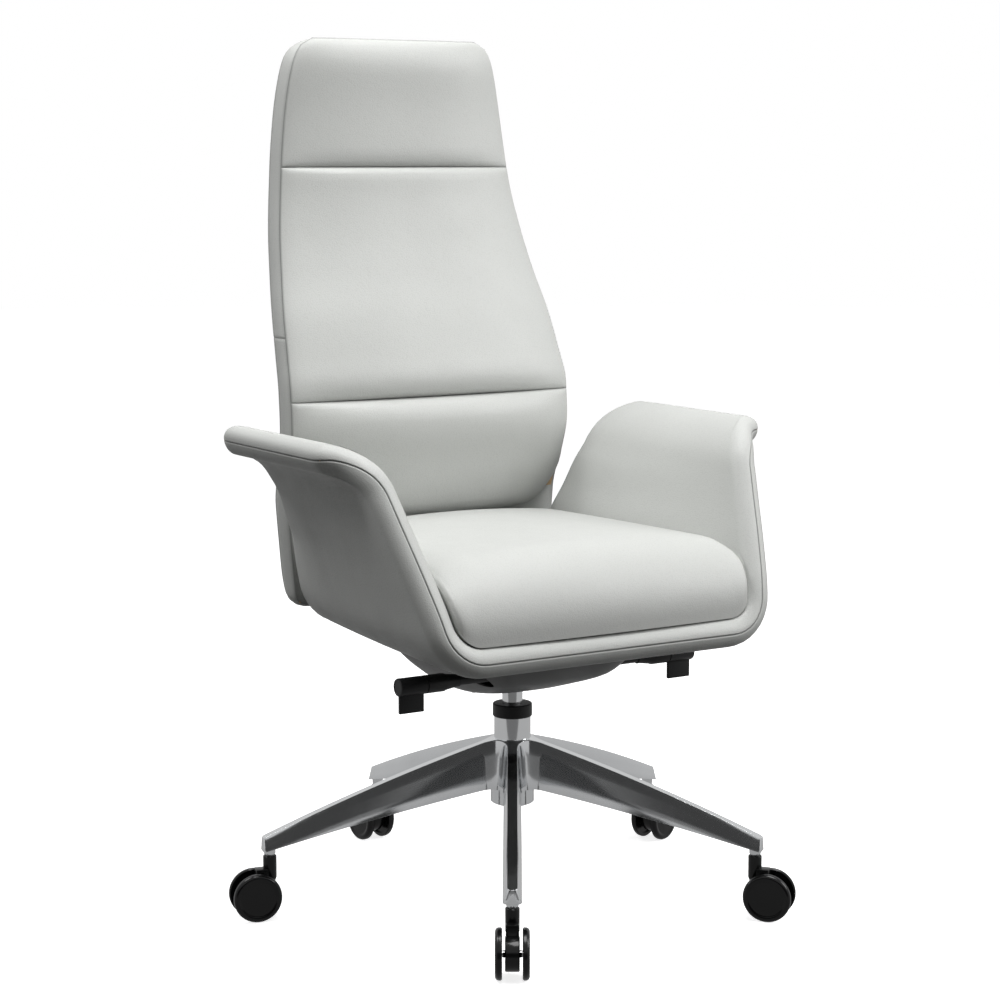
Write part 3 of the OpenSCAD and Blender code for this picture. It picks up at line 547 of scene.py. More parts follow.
@dataclass
class StarBase:
    """Cast five-leg base with filleted roots and flat tops."""

    wardrobe: Wardrobe
    top_half: float = 0.0065
    low_half: float = 0.012
    bore: float = 0.0251
    top_fillet: float = 0.027
    low_fillet: float = 0.022
    corner: float = 0.005
    across: int = 6
    edge: float = 0.0016
    socket_wall: float = 0.0045
    tip_past_stem: float = 0.010
    root_steps: int = 8
    leg_steps: int = 14
    tip_steps: int = 4

    def heights(self, radius: float) -> tuple[float, float]:
        """Top and lower edge of a leg at a distance from the column."""
        lift = self.reference
        top = lift + 0.144 - 0.27 * radius - 0.205 * radius**2
        low = lift + 0.0745 - 0.155 * radius - 0.115 * radius**2
        return top, low

    def plan(self, half: float, fillet: float) -> list[tuple[float, float, float]]:
        """Half outline of one leg seen from above.

        Args:
            half: Half width of the leg.
            fillet: Radius of the hollow between two legs.

        Returns:
            Rows from the bore to the tip: edge x, edge y and x on the leg's middle line.
        """
        turn = math.pi / LEGS
        out = (half + fillet) / math.sin(turn)
        near = out - fillet
        rows = [(self.bore * math.cos(turn), self.bore * math.sin(turn), self.bore)]
        for k in range(self.root_steps + 1):
            share = k / self.root_steps
            angle = math.pi + turn + (math.pi / 2 - turn) * share
            x = out * math.cos(turn) + fillet * math.cos(angle)
            y = out * math.sin(turn) + fillet * math.sin(angle)
            rows.append((x, y, x + (near - near * math.cos(turn)) * (1 - share)))
        straight = rows[-1][0]
        last = self.reach - self.corner
        for k in range(1, self.leg_steps + 1):
            x = straight + (last - straight) * k / self.leg_steps
            rows.append((x, half, x))
        for k in range(1, self.tip_steps + 1):
            angle = math.pi / 2 * (1 - k / self.tip_steps)
            x = last + self.corner * math.cos(angle)
            rows.append((x, half - self.corner + self.corner * math.sin(angle), x))
        return rows

    def build(self) -> None:
        """Builds the star and its caster sockets."""
        stem = mid_box("caster_1_stem")
        first = math.atan2(stem.y, stem.x)
        self.stem_r = math.hypot(stem.x, stem.y)
        self.reach = self.stem_r + self.tip_past_stem
        self.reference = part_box("caster_1_body")[1].z
        piece = Piece("star_casting")
        bm = piece.bm
        top, low = self.plan(self.top_half, self.top_fillet), self.plan(self.low_half, self.low_fillet)
        side = 3
        ring = [(1 - 2 * k / self.across, 0.0) for k in range(self.across)]
        ring += [(-1.0, k / side) for k in range(side)]
        ring += [(-1 + 2 * k / self.across, 1.0) for k in range(self.across)]
        ring += [(1.0, 1 - k / side) for k in range(side + 1)]
        rows = len(top) - 1
        for v, column, row in grid(bm, len(ring) - 1, rows):
            b, depth = ring[column]
            ends = []
            for plan, pick in ((top, 0), (low, 1)):
                x_edge, y_edge, x_mid = plan[row]
                x = x_edge + (x_mid - x_edge) * (1 - b * b)
                y = b * y_edge
                ends.append(Vector((x, y, self.heights(math.hypot(x, y))[pick])))
            v.co = ends[0].lerp(ends[1], depth)
        bmesh.ops.remove_doubles(bm, verts=bm.verts[:], dist=SAME_POINT)
        cut = [f for f in bm.faces if all(abs(abs(math.atan2(v.co.y, v.co.x)) - math.pi / LEGS) < 1e-4
                                          for v in f.verts)]
        bmesh.ops.delete(bm, geom=cut, context="FACES")
        tip = [e for e in bm.edges
               if e.is_boundary and all(v.co.x > self.reach - 0.002 for v in e.verts)]
        bmesh.ops.holes_fill(bm, edges=tip, sides=0)
        bmesh.ops.rotate(bm, verts=bm.verts[:], cent=(0, 0, 0), matrix=Matrix.Rotation(first, 3, "Z"))
        bmesh.ops.spin(bm, geom=everything(bm), cent=(0, 0, 0), axis=(0, 0, 1),
                       dvec=(0, 0, 0), angle=math.tau * (LEGS - 1) / LEGS, steps=LEGS - 1,
                       use_merge=False, use_duplicate=True)
        bmesh.ops.remove_doubles(bm, verts=bm.verts[:], dist=1e-5)
        bmesh.ops.bridge_loops(bm, edges=[e for e in bm.edges if e.is_boundary])
        piece.tidy(1e-5)
        piece.soften(self.edge, 3, 40)
        z, r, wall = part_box("column_tube")[0].z, self.bore, self.socket_wall
        piece.turned([(r, z + 0.002), (r, z + 0.05), (r + wall, z + 0.05), (r + wall, z + 0.0035),
                      (r + wall - 0.0015, z + 0.002), (r, z + 0.002)], Matrix())
        for k in range(LEGS):
            angle = first + math.tau * k / LEGS
            spot = Matrix.Translation((self.stem_r * math.cos(angle), self.stem_r * math.sin(angle),
                                       self.reference))
            piece.turned([(0.0052, 0.001), (0.0052, 0.012), (0.0078, 0.012), (0.0078, 0.0025),
                          (0.0070, 0.001), (0.0052, 0.001)], spot, 32)
        piece.done("base", "polished_aluminium", self.wardrobe, ["star_base"])


# ---------------------------------------------------------------- column


@dataclass
class Column:
    """Chromed column tube, its cap and the gas cylinder, turned on the column axis."""

    wardrobe: Wardrobe
    edge: float = 0.0012

    def sleeve(self, name: str, node: str, inner: float, slot: str, body: str) -> None:
        """Turns a tube with eased rims in the place of a CAD node.

        Args:
            name: Name of the piece.
            node: CAD node that gives its outer radius and height.
            inner: Radius of its bore.
            slot: Material slot.
            body: Body it rides on.
        """
        low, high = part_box(node)
        outer, e = high.x, self.edge
        piece = Piece(name)
        piece.turned([(inner, low.z), (outer - e, low.z), (outer, low.z + e), (outer, high.z - e),
                      (outer - e, high.z), (inner, high.z), (inner, low.z)], Matrix(), 96)
        piece.done(body, slot, self.wardrobe, [node], 25)

    def build(self) -> None:
        """Builds the turned pieces of the column."""
        cylinder_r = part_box("gas_cylinder")[1].x
        tube_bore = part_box("guide_bush")[1].x
        self.sleeve("column_sleeve", "column_tube", tube_bore, "chrome", "base")
        self.sleeve("column_collar", "column_cap", cylinder_r + 0.0003, "satin_plastic", "base")
        low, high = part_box("gas_cylinder")
        e = self.edge
        piece = Piece("gas_cylinder_tube")
        pin_r, rod_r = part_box("release_pin")[1].x + 0.0001, 0.0051
        piece.turned([(rod_r, low.z), (high.x - e, low.z), (high.x, low.z + e), (high.x, high.z - e),
                      (high.x - e, high.z), (pin_r, high.z), (pin_r, high.z - 0.008),
                      (rod_r, high.z - 0.008), (rod_r, low.z)], Matrix(), 96)
        piece.done("lift", "chrome", self.wardrobe, ["gas_cylinder"], 25)


# ---------------------------------------------------------------- casters


@dataclass
class Casters:
    """Twin-wheel casters: round bodies with a barrel, and dished wheels."""

    wardrobe: Wardrobe
    dish: float = 0.0008
    half_body: float = 0.00915
    wheel_gap: float = 0.0036

    def build(self) -> None:
        """Builds every caster in the place of its CAD nodes."""
        for k in range(1, LEGS + 1):
            stem, axle = mid_box(f"caster_{k}_stem"), mid_box(f"caster_{k}_axle")
            heading = math.atan2(axle.y - stem.y, axle.x - stem.x)
            self.frame = Matrix.Translation((stem.x, stem.y, 0)) @ Matrix.Rotation(heading, 4, "Z")
            self.trail = math.hypot(axle.x - stem.x, axle.y - stem.y)
            self.axle_z = axle.z
            self.body(k)
            for side, name in ((1, "left"), (-1, "right")):
                self.wheel(k, side, name)

    def body(self, k: int) -> None:
        """Builds the body of caster k: round middle, neck, barrel and axle seat."""
        low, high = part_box(f"caster_{k}_body")
        half, r = self.half_body, self.axle_z - low.z
        barrel_r, top = 0.009, high.z
        piece = Piece(f"caster_{k}_hood")
        bm = piece.bm
        spot = self.frame @ Matrix.Translation((self.trail, half, self.axle_z))
        bmesh.ops.create_circle(bm, cap_ends=True, segments=48, radius=r,
                                matrix=spot @ Matrix.Rotation(math.pi / 2, 4, "X"))
        grown = bmesh.ops.extrude_face_region(bm, geom=bm.faces[:])
        moved = [g for g in grown["geom"] if isinstance(g, bmesh.types.BMVert)]
        bmesh.ops.translate(bm, verts=moved, vec=self.frame.to_3x3() @ Vector((0, -2 * half, 0)))
        piece.tidy()
        piece.soften(0.0016, 3, 50)
        neck = piece.block(Vector((0.001, -half + 0.0008, self.axle_z + 0.004)),
                           Vector((self.trail, half - 0.0008, top - 0.0175)), self.frame)
        piece.soften(0.0014, 2, 50, neck)
        inner = 0.0050
        piece.turned([(inner, top), (barrel_r - 0.0014, top), (barrel_r, top - 0.0014),
                      (barrel_r, top - 0.030), (barrel_r - 0.003, top - 0.038), (0.0, top - 0.040),
                      (0.0, top - 0.010), (inner, top - 0.010), (inner, top)], self.frame, 40)
        ledge = piece.block(Vector((self.trail - 0.0065, -half - 0.0026, self.axle_z - 0.003)),
                            Vector((self.trail + 0.0065, half + 0.0026, self.axle_z + 0.003)),
                            self.frame)
        piece.soften(0.0008, 2, 50, ledge)
        piece.done(f"caster_{k}", "gloss_plastic", self.wardrobe, [f"caster_{k}_body"])

    def wheel(self, k: int, side: int, name: str) -> None:
        """Builds one wheel of caster k.

        Args:
            k: Number of the caster.
            side: Sign of its place along the axle.
            name: Side as the CAD names it.
        """
        node = f"caster_{k}_wheel_{name}"
        middle = mid_box(node)
        local = self.frame.inverted() @ middle
        r = middle.z
        t = 2 * (abs(local.y) - self.half_body - self.wheel_gap)
        inner = abs(local.y) - t / 2
        place = self.frame @ Matrix.Translation((self.trail, side * inner, self.axle_z)) \
            @ Matrix.Rotation(-side * math.pi / 2, 4, "X")
        shoulder = 0.0052
        arc = [(r - shoulder + shoulder * math.cos(math.radians(a)),
                t - shoulder + shoulder * math.sin(math.radians(a))) for a in range(0, 91, 10)]
        outline = [(0.0041, 0.0002), (0.009, 0.0002), (0.009, 0.003), (r - 0.0052, 0.003),
                   (r - 0.005, 0.0002), (r - 0.0015, 0.0), (r, 0.0015), *arc,
                   (r - 0.0075, t - 0.0004), (r - 0.0085, t - 0.0010), (r - 0.0095, t - 0.0010),
                   (r * 0.45, t - self.dish), (0.004, t - self.dish * 0.4), (0.0, t - self.dish * 0.4),
                   (0.0, 0.0075), (0.0041, 0.0075), (0.0041, 0.0002)]
        piece = Piece(f"caster_{k}_tread_{name}")
        piece.turned(outline, place, 80)
        piece.done(node, "gloss_plastic", self.wardrobe, [node], 42)


# ---------------------------------------------------------------- mechanism


def grip_axis(node: str) -> tuple[float, float, float]:
    """Radius of a grip, and the y and z of its axis."""
    low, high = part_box(node)
    r = (high.y - low.y) / 2
    return r, (low.y + high.y) / 2, high.z - r


@dataclass
class Levers:
    """The two levers under the seat: black rods with tapered grips and finger paddles."""

    wardrobe: Wardrobe
    rod_r: float = 0.007
    collar_r: float = 0.0085
    split: float = 0.0007
    paddle: Vector = Vector((0.036, 0.005, 0.035))

    def build(self) -> None:
        """Builds both grips in the place of their CAD nodes."""
        self.grip(Side.RIGHT, "height_grip", "height_paddle")
        self.grip(Side.LEFT, "tilt_grip", "tilt_paddle")

    def grip(self, side: Side, node: str, body: str) -> None:
        """Builds the grip of one lever.

        Args:
            side: Side of the chair.
            node: CAD node that it stands for.
            body: Body it rides on.
        """
        low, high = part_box(node)
        start, end = sorted((abs(low.x), abs(high.x)))
        r, y, z = grip_axis(node)
        seam = start + 0.046
        s, e = self.split, 0.0016
        outline = [(self.rod_r + 0.00005, start - 0.004), (self.collar_r, start - 0.004),
                   (self.collar_r, start + 0.001), (r - 0.0012, start + 0.0165), (r, start + 0.019),
                   (r, seam - s), (r - 2 * s, seam - s), (r - 2 * s, seam + s), (r, seam + s),
                   (r, end - e), (r - e * 0.3, end - e * 0.3), (r - e, end), (r - 0.003, end),
                   (r - 0.0036, end - 0.0005), (0.0, end - 0.0005), (0.0, start + 0.030),
                   (self.rod_r + 0.00005, start + 0.026), (self.rod_r + 0.00005, start - 0.004)]
        piece = Piece(f"{node}_moulding")
        piece.turned(outline, along_x(side.value, y, z), 64)
        x0, x1 = sorted((side.value * (end - 0.002 - self.paddle.x), side.value * (end - 0.002)))
        plate = piece.block(Vector((x0, y - self.paddle.y / 2, z - self.paddle.z)),
                            Vector((x1, y + self.paddle.y / 2, z - r * 0.5)))
        piece.soften(0.0011, 3, 50, plate)
        piece.done(body, "satin_plastic", self.wardrobe, [node])


@dataclass
class TiltSprings:
    """The two springs of the tilt, which shorten as the seat tips back."""

    wardrobe: Wardrobe
    kept_length: float = 0.50

    def build(self) -> None:
        """Copies the wound wire."""
        node = frame["nodes"]["tilt_springs"]
        piece = Piece("tilt_spring_wire")
        piece.bm.from_mesh(node.data)
        bmesh.ops.transform(piece.bm, matrix=node.matrix_world, verts=piece.bm.verts[:])
        wire = piece.done("lift", "spring_steel", self.wardrobe, ["tilt_springs"])
        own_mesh(wire)


@dataclass
class UnderCover:
    """Smooth moulded bowl under the seat, open for the column and the levers."""

    wardrobe: Wardrobe
    wall: float = 0.003
    corner: float = 0.052
    slot_r: float = 0.031
    slot_front: float = -0.008
    slot_rear: float = 0.030
    slot_lip: float = 0.004
    lever_hole: float = 0.015
    points: int = 96
    levels: int = 14

    def ring(self, angle: float, half: float, front: float, rear: float, round_r: float) -> Vector:
        """Point of a rounded rectangle in the direction angle from its middle."""
        middle = (front + rear) / 2
        long = (rear - front) / 2
        dx, dy = math.cos(angle), math.sin(angle)
        power = 2.0 + 3.2 * (1 - round_r / min(half, long))
        scale = (abs(dx / half) ** power + abs(dy / long) ** power) ** (-1 / power)
        return Vector((dx * scale, middle + dy * scale, 0.0))

    def build(self) -> None:
        """Builds the bowl, level by level."""
        low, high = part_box("under_cover")
        y_mid = (low.y + high.y) / 2
        span = high.z - low.z
        keys = [0.0, 0.40, 1.0]
        halves = [0.082, 0.114, high.x]
        fronts = [-0.052, -0.128, low.y]
        rears = [0.108, 0.146, high.y]
        piece = Piece("under_cover_bowl")
        bm = piece.bm
        index = bm.verts.layers.int.new("angle")
        bmesh.ops.create_circle(bm, cap_ends=False, segments=self.points, radius=1.0)
        edges = bm.edges[:]
        angles = {v: math.atan2(v.co.y, v.co.x) for v in bm.verts}
        order = sorted(angles.values())
        for v, a in angles.items():
            v[index] = order.index(a)

        def lay(verts: Iterable, place: Callable[[float], Vector]) -> None:
            """Moves one level of points to its place."""
            for v in verts:
                v.co = place(order[v[index]])

        def slot_point(angle: float, grow: float, z: float) -> Vector:
            """Point of the long hole for the gas cylinder."""
            y = math.sin(angle)
            x = math.cos(angle) * (self.slot_r + grow)
            middle = self.slot_rear if y > 0 else self.slot_front
            return Vector((x, middle + y * (self.slot_r + grow), z))

        def level(share: float) -> Callable[[float], Vector]:
            """Outline of the bowl at a share of its height."""
            half, front, rear = (fair(keys, c, share) for c in (halves, fronts, rears))
            lift = Vector((0, 0, low.z + span * share))
            return lambda a: self.ring(a, half, front, rear, self.corner) + lift

        lay(bm.verts, lambda a: slot_point(a, 0.0, low.z + 0.0002))
        foot = level(0.0)
        stages = [lambda a, share=share: slot_point(a, self.slot_lip, low.z).lerp(foot(a), share)
                  for share in (0.0, 0.45, 0.90)]
        stages.append(lambda a: foot(a) + Vector((0, 0, 0.0004)))
        stages += [level(k / self.levels) for k in range(1, self.levels + 1)]
        for stage in stages:
            fresh, edges = piece.hem(edges)
            lay(fresh, stage)
        bmesh.ops.recalc_face_normals(bm, faces=bm.faces[:])
        middle = Vector((0, y_mid, high.z))
        if sum(f.normal.dot(f.calc_center_median() - middle) for f in bm.faces) < 0:
            bmesh.ops.reverse_faces(bm, faces=bm.faces[:])
        bmesh.ops.solidify(bm, geom=bm.faces[:], thickness=self.wall)
        cover = piece.done("seat", "grey_plastic", self.wardrobe, ["under_cover"], 40)
        self.open_ways(cover)

    def open_ways(self, cover: bpy.types.Object) -> None:
        """Cuts a round hole for the lever on each side."""
        cutter = Piece("lever_holes")
        _, y, z = grip_axis("tilt_grip")
        near, far, r = 0.06, 0.2, self.lever_hole
        for side in (1, -1):
            cutter.turned([(0, near), (r, near), (r, far), (0, far)], along_x(side, y, z), 48)
        cutter.tidy()
        tool = shaped("lever_holes", cutter.bm)
        cut = cover.modifiers.new("holes", "BOOLEAN")
        cut.operation, cut.solver, cut.object = "DIFFERENCE", "EXACT", tool
        baked(cover)
        smoothed(cover.data, SMOOTH_DEG)
        bpy.data.objects.remove(tool)
        log.info("under_cover_bowl: lever ways at %.3f, %.3f", y, z)


# ---------------------------------------------------------------- upholstery


class Loop:
    """Closed outline of a sheet in two of its own coordinates, in four graded sides."""

    def __init__(self, points: Sequence[tuple[float, float]], corners: Sequence[int],
                 counts: tuple[int, int], blur: int) -> None:
        """Fairs a dense outline and splits it.

        Args:
            points: Dense outline, anticlockwise.
            corners: Index of the point at the start of each side.
            counts: Faces along the first and third side, and along the other two.
            blur: Rounds of smoothing.
        """
        dense = [Vector(p) for p in points]
        for _ in range(blur):
            dense = [(dense[k - 1] + dense[k] * 2 + dense[(k + 1) % len(dense)]) / 4
                     for k in range(len(dense))]
        self.nx, self.ny = counts
        self.points: list[Vector] = []
        for n, count in enumerate((self.nx, self.ny, self.nx, self.ny)):
            start, end = corners[n], corners[(n + 1) % 4]
            end += len(dense) if end <= start else 0
            side = [dense[k % len(dense)] for k in range(start, end + 1)]
            lengths = [0.0]
            for a, b in zip(side, side[1:]):
                lengths.append(lengths[-1] + (b - a).length)
            for k in range(count):
                goal = lengths[-1] * k / count
                m = max(i for i in range(len(side) - 1) if lengths[i] <= goal + 1e-12)
                share = (goal - lengths[m]) / (lengths[m + 1] - lengths[m])
                self.points.append(side[m].lerp(side[m + 1], share))
        total = len(self.points)
        self.normals = []
        for k in range(total):
            run = self.points[(k + 1) % total] - self.points[k - 1]
            self.normals.append(Vector((-run.y, run.x)).normalized())

    def inset(self, k: int, distance: float) -> Vector:
        """Outline point k moved inwards."""
        return self.points[k] + self.normals[k] * distance

    def index(self, i: int, j: int) -> int:
        """Outline index of a grid point, or -1 inside."""
        if j == 0:
            return i % (2 * (self.nx + self.ny))
        if i == self.nx:
            return self.nx + j
        if j == self.ny:
            return self.nx + self.ny + self.nx - i
        if i == 0:
            return 2 * self.nx + self.ny + self.ny - j
        return -1

    def patch(self, i: int, j: int, distance: float) -> Vector:
        """Grid point inside the outline when its rim is set in by distance."""
        u, v = i / self.nx, j / self.ny
        spots = ((i, 0), (i, self.ny), (0, j), (self.nx, j),
                 (0, 0), (self.nx, 0), (0, self.ny), (self.nx, self.ny))
        south, north, west, east, *corner = (self.inset(self.index(a, b), distance) for a, b in spots)
        return (south * (1 - v) + north * v + west * (1 - u) + east * u
                - corner[0] * (1 - u) * (1 - v) - corner[1] * u * (1 - v)
                - corner[2] * (1 - u) * v - corner[3] * u * v)


def flat(across: float, along: float) -> float:
    """No extra lift anywhere on a face."""
    return 0.0


def wrap(piece: Piece, loop: Loop, rows: Sequence[tuple[float, float, float]], place: Place,
         puff: tuple[Callable[[float, float], float], Callable[[float, float], float]]) -> None:
    """Closes a sheet of leather over both faces and the rim of a form.

    Args:
        piece: Piece that takes the mesh.
        loop: Outline of the form.
        rows: (inset, lift, painted seam shade) of each line of points round the rim, from face to face.
        place: Takes two sheet coordinates and a lift to a point.
        puff: Extra lift of the first and of the last face, by share across and along.
    """
    bm = piece.bm
    key = bm.verts.layers.int.new("rim")

    def face(row: tuple[float, float, float], extra: Callable[[float, float], float]) -> None:
        """Adds one face as a grid of points."""
        for v, i, j in grid(bm, loop.nx, loop.ny):
            p = loop.patch(i, j, row[0])
            v[key] = loop.index(i, j)
            v.co = place(p.x, p.y, row[1] + extra(2 * i / loop.nx - 1, 2 * j / loop.ny - 1))

    face(rows[0], puff[0])
    edges = [e for e in bm.edges if e.is_boundary]
    for inset, lift, seam in rows[1:]:
        fresh, edges = piece.hem(edges)
        for v in fresh:
            p = loop.inset(v[key], inset)
            v.co = place(p.x, p.y, lift)
            # Painted shade share of this row along the seam.
            v[piece.seam] = seam
    face(rows[-1], puff[1])
    piece.tidy(1e-5)


@dataclass
class SeatShell:
    """Padded shell that makes the seat's floor and both arms, with a seam round its rim."""

    wardrobe: Wardrobe
    floor_half: float = 0.190
    bend_r: float = 0.055
    lean_deg: float = 12.5
    wall: float = 0.1655
    curl_r: float = 0.056
    over_deg: float = 12.0
    half_t: float = 0.0195
    heights: tuple = (0.0, 0.033, 0.066, 0.097, 0.130, 0.168, 0.208, 0.238, 0.2485)
    fronts: tuple = (-0.250, -0.240, -0.229, -0.2145, -0.1985, -0.1785, -0.158, -0.138, -0.098)
    rears: tuple = (0.228, 0.230, 0.229, 0.224, 0.215, 0.2055, 0.1995, 0.195, 0.186)
    taper_heights: tuple = (0.0, 0.105, 0.145, 0.180, 0.205, 0.225, 0.245, 0.2485)
    tapers: tuple = (0.20, 0.19, 0.152, 0.122, 0.081, 0.056, 0.017, 0.0)

    def __post_init__(self) -> None:
        """Works out the lengths of the profile."""
        self.turn = math.radians(90 - self.lean_deg)
        self.s_bend = self.floor_half
        self.s_wall = self.s_bend + self.bend_r * self.turn
        self.s_curl = self.s_wall + self.wall
        self.s_edge = self.s_curl + self.curl_r * (self.turn + math.radians(self.over_deg))
        self.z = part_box("shell_outer_pad")[0].z + self.half_t
        self.rise = Vector((math.cos(self.turn), math.sin(self.turn)))
        self.bend_end = Vector((self.floor_half + self.bend_r * self.rise.y,
                                self.bend_r * (1 - self.rise.x)))
        self.wall_end = self.bend_end + self.rise * self.wall

    def profile(self, s: float) -> tuple[float, float, float]:
        """Point of the half profile at length s from the middle, as x, height and heading."""
        if s <= self.s_bend:
            return s, 0.0, 0.0
        if s <= self.s_wall:
            a = (s - self.s_bend) / self.bend_r
            return (self.floor_half + self.bend_r * math.sin(a), self.bend_r * (1 - math.cos(a)), a)
        if s <= self.s_curl:
            p = self.bend_end + self.rise * (s - self.s_wall)
            return p.x, p.y, self.turn
        a = self.turn - (s - self.s_curl) / self.curl_r
        return (self.wall_end.x + self.curl_r * (self.rise.y - math.sin(a)),
                self.wall_end.y + self.curl_r * (math.cos(a) - self.rise.x), a)

    def narrowing(self, height: float, y: float) -> float:
        """Share of the width kept at y, as the arms close in towards the back."""
        front = fair(self.heights, self.fronts, height)
        share = clamp((y - front) / (fair(self.heights, self.rears, height) - front))
        return 1 - fair(self.taper_heights, self.tapers, height) * share**1.5

    def place(self, s: float, y: float, lift: float) -> Vector:
        """Point at length s across and y along, lift above mid thickness."""
        x, height, heading = self.profile(abs(s))
        sign = self.narrowing(height, y) * (-1 if s < 0 else 1)
        return Vector((sign * (x - lift * math.sin(heading)), y,
                       self.z + height + lift * math.cos(heading)))

    def outline(self) -> Loop:
        """Outline of the sheet before it is bent."""
        count, rises, turn = 240, 60, 6
        reach = [self.s_edge * (2 * k / count - 1) for k in range(count + 1)]
        front, rear = ([(s, fair(self.heights, ends, self.profile(abs(s))[1])) for s in line]
                       for ends, line in ((self.fronts, reach), (self.rears, reach[::-1])))
        low, high = front[-1][1], rear[0][1]
        side = [(self.s_edge, low + (high - low) * k / rises) for k in range(1, rises)]
        back = [(-s, y) for s, y in reversed(side)]
        corners = [turn, count - turn, count + rises + turn, 2 * count + rises - turn]
        return Loop(front + side + rear + back, corners, (112, 42), 16)

    def build(self) -> None:
        """Builds the leather of the shell."""
        r = self.half_t
        arc = [(r * (1 - math.sin(math.radians(a))), r * math.cos(math.radians(a)), 0.0)
               for a in (0, 14, 28, 42, 55, 66, 75, 82)]
        # Rows by the seam: (inset, lift, painted seam shade); the painted shade deepens into the seam
        # groove.
        seam = [(0.0, 0.0017, 0.0), (0.0004, 0.0008, 0.6), (0.0016, 0.0002, 1.0)]
        half = arc + seam
        rows = half + [(a, -b, c) for a, b, c in reversed(half)]
        piece = Piece("seat_shell_leather")
        wrap(piece, self.outline(), rows, self.place, (flat, flat))
        piece.leather(self.wardrobe, ["shell_inner_pad", "shell_outer_pad", "shell_welt"], 75, 0.95)


@dataclass
class SeatCushion:
    """Loose crowned cushion that fills the floor of the shell between the arms."""

    wardrobe: Wardrobe
    shell: SeatShell
    edge_h: float = 0.097
    crown: float = 0.021
    front_roll: float = 0.095
    lip: float = 0.012
    bow: float = 0.012
    corner: float = 0.050

    def build(self) -> None:
        """Builds the cushion."""
        shell = self.shell
        front0, rear = (corner.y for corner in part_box("seat_cushion"))
        off = shell.half_t + 0.0008
        s_end = shell.s_wall + (self.edge_h - shell.bend_end.y) / math.sin(shell.turn)
        across = [s - s_end for s in graded(2 * s_end, 0.010, (0.0006, 0.002, 0.0045, 0.008, 0.013,
                                                               0.019))]
        along = graded(1.0, 0.024, (0.001, 0.004, 0.009, 0.016, 0.025, 0.036, 0.05))
        edge_z = shell.z + self.edge_h + shell.half_t * math.cos(shell.turn) + self.lip / 2

        def spot(i: int, j: int, layer: int) -> tuple[Vector, float]:
            """Point of the underside or of the crowned top."""
            s = across[i]
            side = s / s_end
            turn = clamp((abs(side) - 0.68) / 0.32)
            front = front0 + self.bow * side**2 + self.corner * (1 - math.sqrt(1 - turn**2))
            y = front + (rear - front) * along[j]
            low = shell.place(s, y, off)
            full = edge_z + self.crown * (1 - side**2) - low.z
            lean = (1 - clamp((y - front) / self.front_roll)) ** 2
            lean += (1 - clamp((s_end - abs(s)) / (0.024 + 0.03 * lean))) ** 2
            rounding = 0.10 + 0.90 * math.sqrt(max(0.0, 1 - lean))
            rounding *= 0.84 + 0.16 * roll(rear - y, 0.03)
            return low + Vector((0, 0, full * rounding * layer)), 0.0

        piece = Piece("seat_cushion_leather")
        piece.quilt(len(across) - 1, len(along) - 1, spot)
        piece.leather(self.wardrobe, ["seat_cushion"], 60, 0.8)


